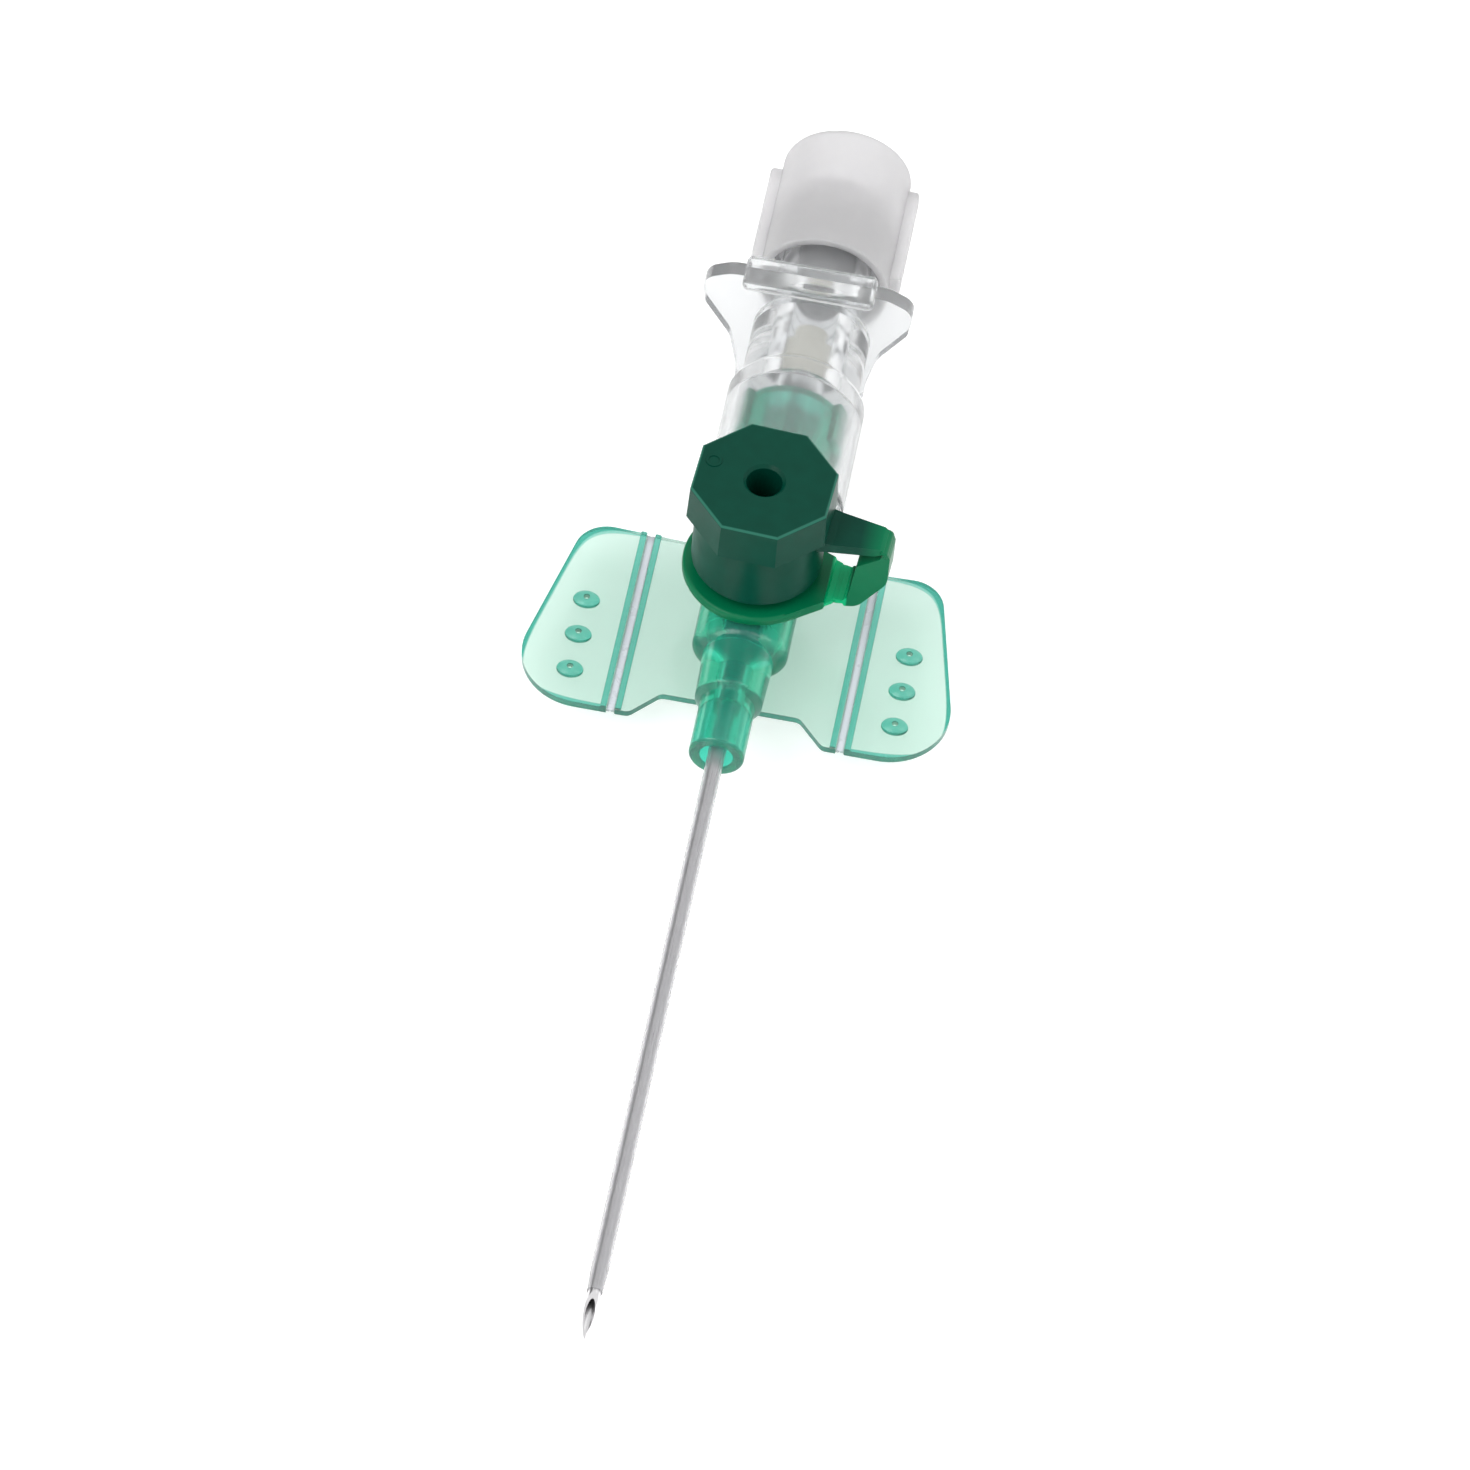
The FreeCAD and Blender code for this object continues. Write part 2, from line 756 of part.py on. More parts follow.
def cap_head():
    """Octagonal head with draft and small chamfers at both rims."""
    levels = [
        (cap_octagon_radius + cap_head_draft - cap_edge_chamfer, cap_neck_z),
        (cap_octagon_radius + cap_head_draft, cap_neck_z + cap_edge_chamfer),
        (cap_octagon_radius, cap_top_z - cap_edge_chamfer / 2),
        (cap_octagon_radius - cap_edge_chamfer / 2, cap_top_z),
    ]
    return Part.makeLoft([octagon(radius, z) for radius, z in levels], True, True)


def cap_hollow():
    """Room for the port under the cap, with the tapered plug left standing."""
    roof_z = port_top_z + cap_roof_gap
    plug_base_z = port_top_z - cap_plug_depth
    plug_radius = luer_mouth_radius - cap_plug_gap
    bore = cap_skirt_radius - cap_skirt_wall
    return spun_on_port([
        (0, cap_base_z - overrun),
        (bore + edge_round / 2, cap_base_z - overrun),
        (bore + edge_round / 2, cap_base_z),
        (bore, cap_base_z + edge_round),
        (bore, roof_z, edge_round),
        (plug_radius, roof_z, edge_round / 2),
        (plug_radius - cap_plug_taper, plug_base_z, edge_round),
        (0, plug_base_z),
    ])


def strap_upper_band():
    """Band from the cap's skirt to the outer fold of the strap."""
    half = strap_thickness / 2
    film = strap_film / 2
    root_x = cap_skirt_radius - edge_round
    band = outline([
        (root_x, fold_hinge_z - half),
        (band_end_x - film_length, fold_hinge_z - half),
        (band_end_x, fold_hinge_z - film, strap_film_round),
        (band_end_x, fold_hinge_z + film, strap_film_round),
        (band_end_x - film_length / 2, fold_hinge_z + half, half / 2),
        (cap_skirt_radius + band_root_reach, fold_hinge_z + half),
        (root_x, fold_hinge_z + half + band_root_rise),
    ], seen_from_side)
    band = band.extrude(V(0, 2 * band_root_width, 0))
    band.translate(V(0, -band_root_width, 0))
    trim = strap_band(band_root_width, strap_fold_width, cap_skirt_radius - overrun, fold_hinge_x,
                      fold_hinge_z - overrun, fold_hinge_z + overrun)
    return band.common(trim)


def cap_mark():
    """Small raised circle on the cap's top face."""
    spot = V(cap_mark_x, cap_mark_y, cap_top_z - cap_mark_rise)
    mark = Part.makeCylinder(cap_mark_radius, 2 * cap_mark_rise, spot)
    return mark.cut(Part.makeCylinder(cap_mark_radius - cap_mark_width, 3 * cap_mark_rise, spot))


def make_port_cap():
    """Snap cap of the port with the upper band of its strap."""
    skirt = spun_on_port([
        (0, cap_base_z),
        (cap_skirt_radius, cap_base_z, edge_round / 2),
        (cap_skirt_radius - cap_skirt_draft, cap_neck_z + edge_round),
        (0, cap_neck_z + edge_round),
    ])
    recess_floor_z = cap_top_z - cap_recess_depth
    recess = spun_on_port([
        (0, recess_floor_z),
        (cap_recess_radius - cap_recess_draft, recess_floor_z, edge_round),
        (cap_recess_radius, cap_top_z - cap_recess_chamfer),
        (cap_recess_radius + cap_recess_chamfer, cap_top_z),
        (cap_recess_radius + cap_recess_chamfer, cap_top_z + overrun),
        (0, cap_top_z + overrun),
    ])
    cap = cap_head().fuse(skirt).fuse(strap_upper_band()).fuse(cap_mark())
    return clocked(cap.cut(recess).cut(cap_hollow()).removeSplitter())


def hub_shell():
    """Turned form of the clear hub: skirt, neck and rear luer tube."""
    return spun_on_axis([
        (0, skirt_floor_y),
        (skirt_bore_radius, skirt_floor_y, edge_round),
        (skirt_bore_radius, skirt_front_y),
        (skirt_radius, skirt_front_y, skirt_rim_round),
        (skirt_radius, skirt_shoulder_y, skirt_round),
        (neck_radius, skirt_shoulder_y + shoulder_length, edge_round),
        (neck_radius, plate_back_y + neck_past_plate, edge_round),
        (rear_tube_radius, plate_back_y + neck_past_plate, edge_round / 2),
        (rear_tube_radius, rear_face_y, edge_round / 2),
        (0, rear_face_y),
    ])


def hub_nose():
    """Male luer nose that seats in the catheter hub."""
    tip_radius = luer_radius(luer_face_y, nose_luer_tip_y) - nose_luer_clearance
    return spun_on_axis([
        (0, nose_luer_tip_y),
        (tip_radius, nose_luer_tip_y, edge_round),
        (luer_radius(luer_face_y, skirt_floor_y) - nose_luer_clearance, skirt_floor_y + edge_round),
        (0, skirt_floor_y + edge_round),
    ])


def grip_plate():
    """Upright plate with two ears, drawn as one half and mirrored, and its top bar."""
    half_outline = [
        (0, plate_top_rel),
        (plate_shoulder_half, plate_top_rel - plate_top_drop, plate_shoulder_round),
        (plate_ear_half + plate_ear_lean, plate_ear_rel + plate_ear_rise, plate_ear_round),
        (plate_ear_half - plate_ear_lean, plate_ear_rel - plate_ear_drop, plate_ear_low_round),
        (plate_hip_half, plate_hip_rel, plate_hip_round),
        (plate_waist_half, plate_waist_rel, plate_waist_round),
        (plate_foot_half, plate_foot_rel, plate_foot_round),
        (0, plate_foot_rel),
    ]
    face = outline(half_outline, seen_from_front)
    half = face.extrude(V(0, plate_thickness, 0))
    plate = half.fuse(mirrored(half))
    bar = Part.makeBox(2 * bar_half, bar_depth, bar_height,
                       V(-bar_half, plate_front_y - bar_setback, axis_z + plate_top_rel - bar_sink))
    bar = bar.makeFillet(bar_round, bar.Edges)
    plate = plate.fuse(bar).removeSplitter()
    plate.translate(V(plate_offset, 0, 0))
    return plate


def make_needle_hub():
    """Clear hub with skirt, grip plate, flash chamber and rear luer socket."""
    hub = hub_shell().fuse(hub_nose()).fuse(grip_plate())
    for middle in (0, 180):
        hub = hub.fuse(sector_on_axis(rear_tube_radius - edge_round, lug_radius,
                                      rear_face_y - rear_lug_length, rear_face_y, middle, lug_span_deg))
    chamber = spun_on_axis([
        (0, nose_luer_tip_y - overrun),
        (needle_radius + thin_gap, nose_luer_tip_y - overrun),
        (needle_radius + thin_gap, holder_front_y),
        (holder_radius + thin_gap, holder_front_y),
        (holder_radius + thin_gap, rear_luer_bottom_y),
        (luer_radius(rear_face_y, rear_luer_bottom_y), rear_luer_bottom_y),
        (luer_mouth_radius, rear_face_y),
        (luer_mouth_radius, rear_face_y + overrun),
        (0, rear_face_y + overrun),
    ])
    return hub.cut(chamber).removeSplitter()


def make_needle_holder():
    """Cream holder bonded round the needle's tail inside the clear hub."""
    front = holder_front_y + thin_gap
    holder = spun_on_axis([
        (0, front),
        (holder_radius, front, edge_round),
        (holder_radius, holder_step_y, edge_round / 2),
        (holder_nib_radius, holder_step_y),
        (holder_nib_radius, holder_nib_back_y, edge_round / 2),
        (0, holder_nib_back_y),
    ])
    groove_y = front + holder_groove_setback
    groove = spun_on_axis([
        (holder_radius - holder_groove_depth, groove_y),
        (holder_radius + overrun, groove_y),
        (holder_radius + overrun, groove_y + holder_groove_width),
        (holder_radius - holder_groove_depth, groove_y + holder_groove_width),
    ])
    bore = rod_on_axis(needle_radius + thin_gap, front - overrun, needle_tail_y)
    vent = rod_on_axis(needle_bore / 2, needle_tail_y - overrun, holder_nib_back_y + overrun)
    return holder.cut(groove).cut(bore).cut(vent)


def stopper_rib():
    """Grip rib along the right side of the stopper."""
    outer = stopper_radius + stopper_rib_reach
    inner = stopper_radius - edge_round
    front_y = stopper_mouth_y + stopper_rib_lead
    rib = Part.makeBox(outer - inner, stopper_back_y - stopper_rib_setback - front_y, stopper_rib_width,
                       V(inner, front_y, axis_z - stopper_rib_width / 2))
    return rib.makeFillet(edge_round, [edge for edge in rib.Edges if edge.CenterOfMass.x > outer - thin_gap])


def make_luer_stopper():
    """Frosted stopper: luer cone, collar, grip ribs and rear well."""
    cone_seat = luer_radius(rear_face_y, stopper_seat_y) - nose_luer_clearance
    body = spun_on_axis([
        (0, stopper_seat_y),
        (stopper_bore_radius, stopper_seat_y, edge_round),
        (stopper_bore_radius, stopper_mouth_y),
        (stopper_radius, stopper_mouth_y, edge_round / 2),
        (stopper_radius, stopper_back_y, stopper_round),
        (stopper_well_radius + stopper_well_draft, stopper_back_y, edge_round / 2),
        (stopper_well_radius, well_floor_y, edge_round),
        (0, well_floor_y),
    ])
    cone = spun_on_axis([
        (0, cone_tip_y),
        (luer_radius(rear_face_y, cone_tip_y) - nose_luer_clearance, cone_tip_y, edge_round),
        (cone_seat, stopper_seat_y + edge_round),
        (0, stopper_seat_y + edge_round),
    ])
    body = body.fuse(cone)
    rib = stopper_rib()
    body = body.fuse(rib).fuse(mirrored(rib))
    channel_end_y = filter_back_y + filter_clearance
    body = body.cut(rod_on_axis(filter_radius + filter_clearance, cone_tip_y - overrun, channel_end_y))
    body = body.cut(rod_on_axis(vent_radius, filter_back_y, well_floor_y + overrun))
    return body.removeSplitter()


def make_vent_filter():
    """Porous plug in the stopper's cone that lets air out and keeps blood in."""
    return rod_on_axis(filter_radius, filter_front_y, filter_back_y)


right_wing = make_right_wing()
parts = {
    "needle": make_needle(),
    "catheter_tube": make_catheter_tube(),
    "catheter_eyelet": make_catheter_eyelet(),
    "catheter_hub": make_catheter_hub(),
    "right_wing": right_wing,
    "left_wing": mirrored(right_wing),
    "port_valve": make_port_valve(),
    "cap_ring": make_cap_ring(),
    "cap_strap": make_cap_strap(),
    "port_cap": make_port_cap(),
    "needle_hub": make_needle_hub(),
    "needle_holder": make_needle_holder(),
    "luer_stopper": make_luer_stopper(),
    "vent_filter": make_vent_filter(),
}

os.makedirs("parts", exist_ok=True)
for name, shape in parts.items():
    shape.exportStep(f"parts/{name}.step")
    box = shape.BoundBox
    print(f"{name:16s} valid={shape.isValid()} solids={len(shape.Solids)} volume={shape.Volume:.2f} "
          f"x {box.XMin:.2f} {box.XMax:.2f} y {box.YMin:.2f} {box.YMax:.2f} z {box.ZMin:.2f} {box.ZMax:.2f}")
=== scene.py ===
"""Studio scene of a winged intravenous cannula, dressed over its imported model.

Lengths are in metres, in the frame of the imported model: +Z runs up the injection
port and +Y runs along the needle, from its tip to the stopper.
"""
import logging
import math
from dataclasses import dataclass, field, replace
from enum import Enum

import bmesh
import bpy
from mathutils import Matrix, Vector


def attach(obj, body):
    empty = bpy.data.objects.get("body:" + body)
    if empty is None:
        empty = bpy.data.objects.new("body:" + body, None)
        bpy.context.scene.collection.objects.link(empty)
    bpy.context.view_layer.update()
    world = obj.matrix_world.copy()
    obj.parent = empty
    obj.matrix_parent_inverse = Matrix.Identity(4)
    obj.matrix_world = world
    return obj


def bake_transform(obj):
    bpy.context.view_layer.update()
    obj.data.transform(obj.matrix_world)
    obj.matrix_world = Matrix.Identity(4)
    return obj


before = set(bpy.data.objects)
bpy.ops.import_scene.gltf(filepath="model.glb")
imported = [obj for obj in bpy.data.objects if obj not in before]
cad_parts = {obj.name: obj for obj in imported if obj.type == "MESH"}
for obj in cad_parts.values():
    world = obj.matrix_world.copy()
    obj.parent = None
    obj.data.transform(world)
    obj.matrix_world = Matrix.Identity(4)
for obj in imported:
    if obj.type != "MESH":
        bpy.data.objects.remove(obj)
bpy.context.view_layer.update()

LOG = logging.getLogger("cannula")
MM = 0.001
AXIS_Z = 3.10 * MM
SKIN_DEPTH = 0.1 * MM
DRAWN_DEPTH = 0.02 * MM
UP = Vector((0.0, 0.0, 1.0))
Colour = tuple[float, float, float, float]


class Body(Enum):
    """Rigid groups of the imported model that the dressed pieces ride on."""

    CATHETER = "catheter"
    VENT = "vent"
    RING = "cap_ring"
    STRAP = "cap_strap"
    CAP = "port_cap"
    RIGHT_WING = "right_wing"
    LEFT_WING = "left_wing"


def linear(red: int, green: int, blue: int) -> Colour:
    """Turn a display colour into the scene's linear one.

    Args:
        red: Red, 0 to 255.
        green: Green, 0 to 255.
        blue: Blue, 0 to 255.

    Returns:
        Linear red, green and blue with full alpha.
    """
    values = []
    for level in (red, green, blue):
        share = level / 255
        values.append(share / 12.92 if share <= 0.04045 else ((share + 0.055) / 1.055) ** 2.4)
    return (values[0], values[1], values[2], 1.0)


class NodeTree:
    """Short way to lay nodes in a shader tree and join them."""

    def __init__(self, tree: bpy.types.NodeTree) -> None:
        """Keep the tree that nodes are added to."""
        self.tree = tree

    def add(self, kind: str, inputs: dict | None = None, **settings: object) -> bpy.types.Node:
        """Add one node.

        Args:
            kind: Node type, such as ShaderNodeTexNoise.
            inputs: Socket name or index to a value or to the socket that feeds it.
            **settings: Properties of the node itself.

        Returns:
            The new node.
        """
        node = self.tree.nodes.new(kind)
        for name, value in settings.items():
            setattr(node, name, value)
        for name, value in (inputs or {}).items():
            socket = node.inputs[name]
            if isinstance(value, bpy.types.NodeSocket):
                self.tree.links.new(value, socket)
            else:
                socket.default_value = value
        return node

    def math(self, operation: str, *values: object) -> bpy.types.NodeSocket:
        """Add one step of arithmetic.

        Args:
            operation: Name of the step, such as SUBTRACT.
            *values: Numbers or sockets it works on.

        Returns:
            The socket that holds the result.
        """
        return self.add("ShaderNodeMath", dict(enumerate(values)), operation=operation).outputs[0]

    def fade(self, value: bpy.types.NodeSocket, zero_at: object, one_at: object) -> bpy.types.NodeSocket:
        """Turn a length into a mask.

        Args:
            value: The length.
            zero_at: Length at which the mask is zero.
            one_at: Length at which the mask is one.

        Returns:
            The mask.
        """
        ramp = self.add("ShaderNodeMapRange", {"Value": value, "From Min": zero_at, "From Max": one_at})
        return ramp.outputs["Result"]

    def mix(self, share: bpy.types.NodeSocket, first: object, second: object) -> bpy.types.NodeSocket:
        """Mix two colours.

        The node's colour sockets share their names with its number sockets, so they are
        picked by their place.

        Args:
            share: Mask, one where the second colour shows.
            first: Colour or socket.
            second: Colour or socket.

        Returns:
            The mixed colour.
        """
        return self.add("ShaderNodeMix", {0: share, 6: first, 7: second}, data_type="RGBA").outputs[2]

    def place(self) -> list[bpy.types.NodeSocket]:
        """Read the place on the object.

        Returns:
            Its x, y and z.
        """
        coordinates = self.add("ShaderNodeTexCoord")
        return list(self.add("ShaderNodeSeparateXYZ", {0: coordinates.outputs["Object"]}).outputs)

    def noise(self, scale: object, detail: float, rough: float, **more: object) -> bpy.types.NodeSocket:
        """Add noise over the object.

        Args:
            scale: Its scale.
            detail: Its number of finer layers.
            rough: Weight of the finer layers.
            **more: Other inputs of the noise, by name.

        Returns:
            The noise value.
        """
        inputs = {"Scale": scale, "Detail": detail, "Roughness": rough, **more}
        if "Vector" not in inputs:
            inputs["Vector"] = self.add("ShaderNodeTexCoord").outputs["Object"]
        return self.add("ShaderNodeTexNoise", inputs).outputs["Fac"]

    def join(self, start: bpy.types.NodeSocket, end: bpy.types.NodeSocket) -> None:
        """Link one socket to another."""
        self.tree.links.new(start, end)


class GroupTree(NodeTree):
    """Shader group with named inputs and outputs."""

    def __init__(self, name: str, inputs: dict[str, float], outputs: list[str]) -> None:
        """Start the group.

        Args:
            name: Name of the group.
            inputs: Name of each input value and its default.
            outputs: Name of each output value.
        """
        super().__init__(bpy.data.node_groups.new(name, "ShaderNodeTree"))
        for label, value in inputs.items():
            socket = self.tree.interface.new_socket(label, in_out="INPUT", socket_type="NodeSocketFloat")
            socket.default_value = value
        for label in outputs:
            self.tree.interface.new_socket(label, in_out="OUTPUT", socket_type="NodeSocketFloat")
        self.given = self.add("NodeGroupInput").outputs
        self.put = self.add("NodeGroupOutput").inputs


@dataclass(frozen=True)
class WingPlan:
    """Outline of the wing sheet, its folds and its studs, seen from above."""

    thickness: float = 0.55 * MM
    front: float = -10.10 * MM
    back: float = 5.85 * MM
    side: float = 16.05 * MM
    side_lean: float = 3.45 * MM
    front_round: float = 7.7 * MM
    back_round: float = 4.2 * MM
    rim: float = 0.20 * MM
    rim_soft: float = 0.08 * MM
    face_near: float = 0.02 * MM
    face_far: float = 0.05 * MM
    back_margin: float = 0.30 * MM
    fold_place: float = 8.02 * MM
    fold_half: float = 0.31 * MM
    root_start: float = 5.0 * MM
    rib_top: float = 1.02 * MM
    stud_place: float = 11.38 * MM
    stud_middle: float = -4.20 * MM
    stud_pitch: float = 3.13 * MM
    pit: float = 0.20 * MM

    def lean(self) -> float:
        """Angle that the outer side leans inwards towards the back."""
        return math.atan2(self.side_lean, self.back - self.front)


WING_PLAN = WingPlan()


@dataclass(frozen=True)
class HeadPlan:
    """Octagonal head of the cap."""

    corner_radius: float = 5.14 * MM
    top: float = 15.50 * MM
    turn_deg: float = -2.8
    sides: int = 8

    def side_distance(self) -> float:
        """Distance from the axis to a side."""
        return self.corner_radius * math.cos(math.pi / self.sides)


HEAD_PLAN = HeadPlan()


class SurfaceGroups:
    """Effects that several finishes share, each built once as a group."""

    def __init__(self) -> None:
        """Build the groups."""
        self.moulded = self._moulded_skin()
        self.handled = self._handled_haze()
        self.drawn = self._drawn_metal()
        # Masks of painted light and shade on the thin sheet and the thin bands.
        self.thin = {"sheet": self._sheet_light_and_shade(WING_PLAN), "band": self._band_light()}
        # Rounding of the cap head's rim, and the mask of the highlight painted on it.
        self.rounded = self._head_rounding_and_highlight(HEAD_PLAN)

    @staticmethod
    def _moulded_skin() -> bpy.types.NodeTree:
        """Faint waviness and fine texture of an injection-moulded face.

        Returns:
            Group with outputs Height and Mask.
        """
        group = GroupTree("moulded_skin", {"Wave scale": 900.0, "Grain scale": 9000.0, "Grain share": 0.3},
                          ["Height", "Mask"])
        wave = group.noise(group.given["Wave scale"], detail=2.0, rough=0.45)
        grain = group.noise(group.given["Grain scale"], detail=3.0, rough=0.6)
        mixed = group.add("ShaderNodeMix", {0: group.given["Grain share"], 2: wave, 3: grain},
                          data_type="FLOAT")
        group.join(mixed.outputs[0], group.put["Height"])
        group.join(wave, group.put["Mask"])
        return group.tree

    @staticmethod
    def _handled_haze() -> bpy.types.NodeTree:
        """Uneven gloss where a face has been touched and rubbed in its tray.

        Returns:
            Group with output Mask.
        """
        group = GroupTree("handled_haze", {"Patch scale": 260.0, "Low": 0.42, "High": 0.72}, ["Mask"])
        patch = group.noise(group.given["Patch scale"], detail=5.0, rough=0.62, Distortion=0.6)
        group.join(group.fade(patch, group.given["Low"], group.given["High"]), group.put["Mask"])
        return group.tree

    @staticmethod
    def _sheet_light_and_shade(plan: WingPlan) -> bpy.types.NodeTree:
        """Where light is painted on the thin wing sheet, its fold and its stud pits, and where shade is
        painted on its rims, ribs and studs.

        Args:
            plan: Outline of the sheet.

        Returns:
            Group with outputs Mask, one where the light is painted, and Rim, one on rims, ribs and studs
            where shade is painted.
        """
        group = GroupTree("sheet_light_and_shade", {"Rim width": plan.rim, "Fold half": plan.fold_half, "Pit": plan.pit},
                          ["Mask", "Rim"])
        x, y, z = group.place()
        out = group.math("ABSOLUTE", x)
        top = group.math("ABSOLUTE", group.math("SUBTRACT", z, plan.thickness))
        from_face = group.math("MINIMUM", group.math("ABSOLUTE", z), top)
        flat = group.fade(from_face, plan.face_far, plan.face_near)
        within_roots = group.math("LESS_THAN", out, plan.fold_place)
        ahead = group.math("SUBTRACT", y, plan.front)
        behind = group.math("SUBTRACT", plan.back, y)
        straight = group.math("MULTIPLY", group.math("SUBTRACT", plan.side, out), math.cos(plan.lean()))
        aside = group.math("SUBTRACT", straight, group.math("MULTIPLY", ahead, math.sin(plan.lean())))
        edge = group.math("SMOOTH_MIN", behind, aside, plan.back_round)
        edge = group.math("SMOOTH_MIN", edge, group.math("ADD", ahead, within_roots), plan.front_round)
        rim = group.given["Rim width"]
        inner = group.fade(edge, rim, group.math("ADD", rim, plan.rim_soft))
        aside_fold = group.math("ABSOLUTE", group.math("SUBTRACT", out, plan.fold_place))
        fold = group.math("LESS_THAN", aside_fold, group.given["Fold half"])
        from_middle = group.math("ABSOLUTE", group.math("SUBTRACT", y, plan.stud_middle))
        from_stud = group.math("MINIMUM", from_middle,
                               group.math("ABSOLUTE", group.math("SUBTRACT", from_middle, plan.stud_pitch)))
        from_row = group.math("SUBTRACT", out, plan.stud_place)
        from_pit = group.math("SQRT", group.math("ADD", group.math("MULTIPLY", from_stud, from_stud),
                                                 group.math("MULTIPLY", from_row, from_row)))
        pit = group.math("LESS_THAN", from_pit, group.given["Pit"])
        # Painted light: the thin flat faces and the fold paler, and a painted highlight in each stud pit.
        pale = group.math("MAXIMUM", group.math("MULTIPLY", flat, inner), group.math("MAXIMUM", fold, pit))
        pale = group.math("MULTIPLY", pale, group.math("LESS_THAN", y, plan.back + plan.back_margin))
        # Painted shade: deeper colour on rims, ribs and studs beyond the roots.
        low = group.math("MULTIPLY", group.math("LESS_THAN", z, plan.rib_top),
                         group.math("GREATER_THAN", out, plan.root_start))
        group.join(pale, group.put["Mask"])
        group.join(low, group.put["Rim"])
        return group.tree

    @staticmethod
    def _band_light() -> bpy.types.NodeTree:
        """Where a strap thins out towards the film of a hinge, and a brighter colour is painted for the light
        that passes it.

        Returns:
            Group with output Mask, one at the film where the light is painted.
        """
        group = GroupTree("band_light", {"Film place": 5.90 * MM, "Film half": 0.66 * MM, "Soft": 0.12 * MM,
                                        "Top": 6.75 * MM}, ["Mask"])
        x, _, z = group.place()
        apart = group.math("ABSOLUTE", group.math("SUBTRACT", x, group.given["Film place"]))
        film = group.fade(apart, group.math("ADD", group.given["Film half"], group.given["Soft"]),
                          group.given["Film half"])
        low = group.math("LESS_THAN", z, group.given["Top"])
        group.join(group.math("MULTIPLY", film, low), group.put["Mask"])
        return group.tree

    @staticmethod
    def _head_rounding_and_highlight(plan: HeadPlan) -> bpy.types.NodeTree:
        """Softened upper rim of the cap's head, with a painted highlight along it.

        Args:
            plan: Shape of the head.

        Returns:
            Group with outputs Height, in metres, and Mask, one on the rim where the highlight is painted.
        """
        group = GroupTree("head_rounding_and_highlight", {"Width": 0.30 * MM, "Light width": 0.24 * MM}, ["Height", "Mask"])
        x, y, z = group.place()
        reach = None
        for side in range(plan.sides // 2):
            angle = math.radians(plan.turn_deg) + 2 * math.pi * side / plan.sides
            along = group.math("ADD", group.math("MULTIPLY", x, math.cos(angle)),
                               group.math("MULTIPLY", y, math.sin(angle)))
            outward = group.math("ABSOLUTE", along)
            reach = outward if reach is None else group.math("MAXIMUM", reach, outward)
        inside = group.math("MAXIMUM", group.math("SUBTRACT", plan.side_distance(), reach), 0.0)
        below = group.math("MAXIMUM", group.math("SUBTRACT", plan.top, z), 0.0)
        depth = group.math("ADD", inside, below)
        left = group.math("MAXIMUM", group.math("SUBTRACT", group.given["Width"], depth), 0.0)
        drop = group.math("DIVIDE", group.math("MULTIPLY", left, left),
                          group.math("MULTIPLY", group.given["Width"], -2.0))
        group.join(drop, group.put["Height"])
        group.join(group.fade(depth, group.given["Light width"], 0.0), group.put["Mask"])
        return group.tree

    @staticmethod
    def _drawn_metal() -> bpy.types.NodeTree:
        """Fine lines along the needle that drawing and polishing leave.

        Returns:
            Group with output Height.
        """
        group = GroupTree("drawn_metal", {"Line scale": 16000.0, "Length share": 0.012}, ["Height"])
        x, y, z = group.place()
        along = group.math("MULTIPLY", y, group.given["Length share"])
        squeezed = group.add("ShaderNodeCombineXYZ", {"X": x, "Y": along, "Z": z})
        lines = group.noise(group.given["Line scale"], detail=4.0, rough=0.65, Vector=squeezed.outputs[0])
        group.join(lines, group.put["Height"])
        return group.tree


def blank_material(name: str, colour: Colour) -> tuple[bpy.types.Material, NodeTree]:
    """Start a material that has no node yet.

    Args:
        name: Name of the material.
        colour: Colour that plain viewports show.

    Returns:
        The material and its tree.
    """
    material = bpy.data.materials.new(name)
    material.use_nodes = True
    material.diffuse_color = colour
    material.node_tree.nodes.clear()
    return material, NodeTree(material.node_tree)


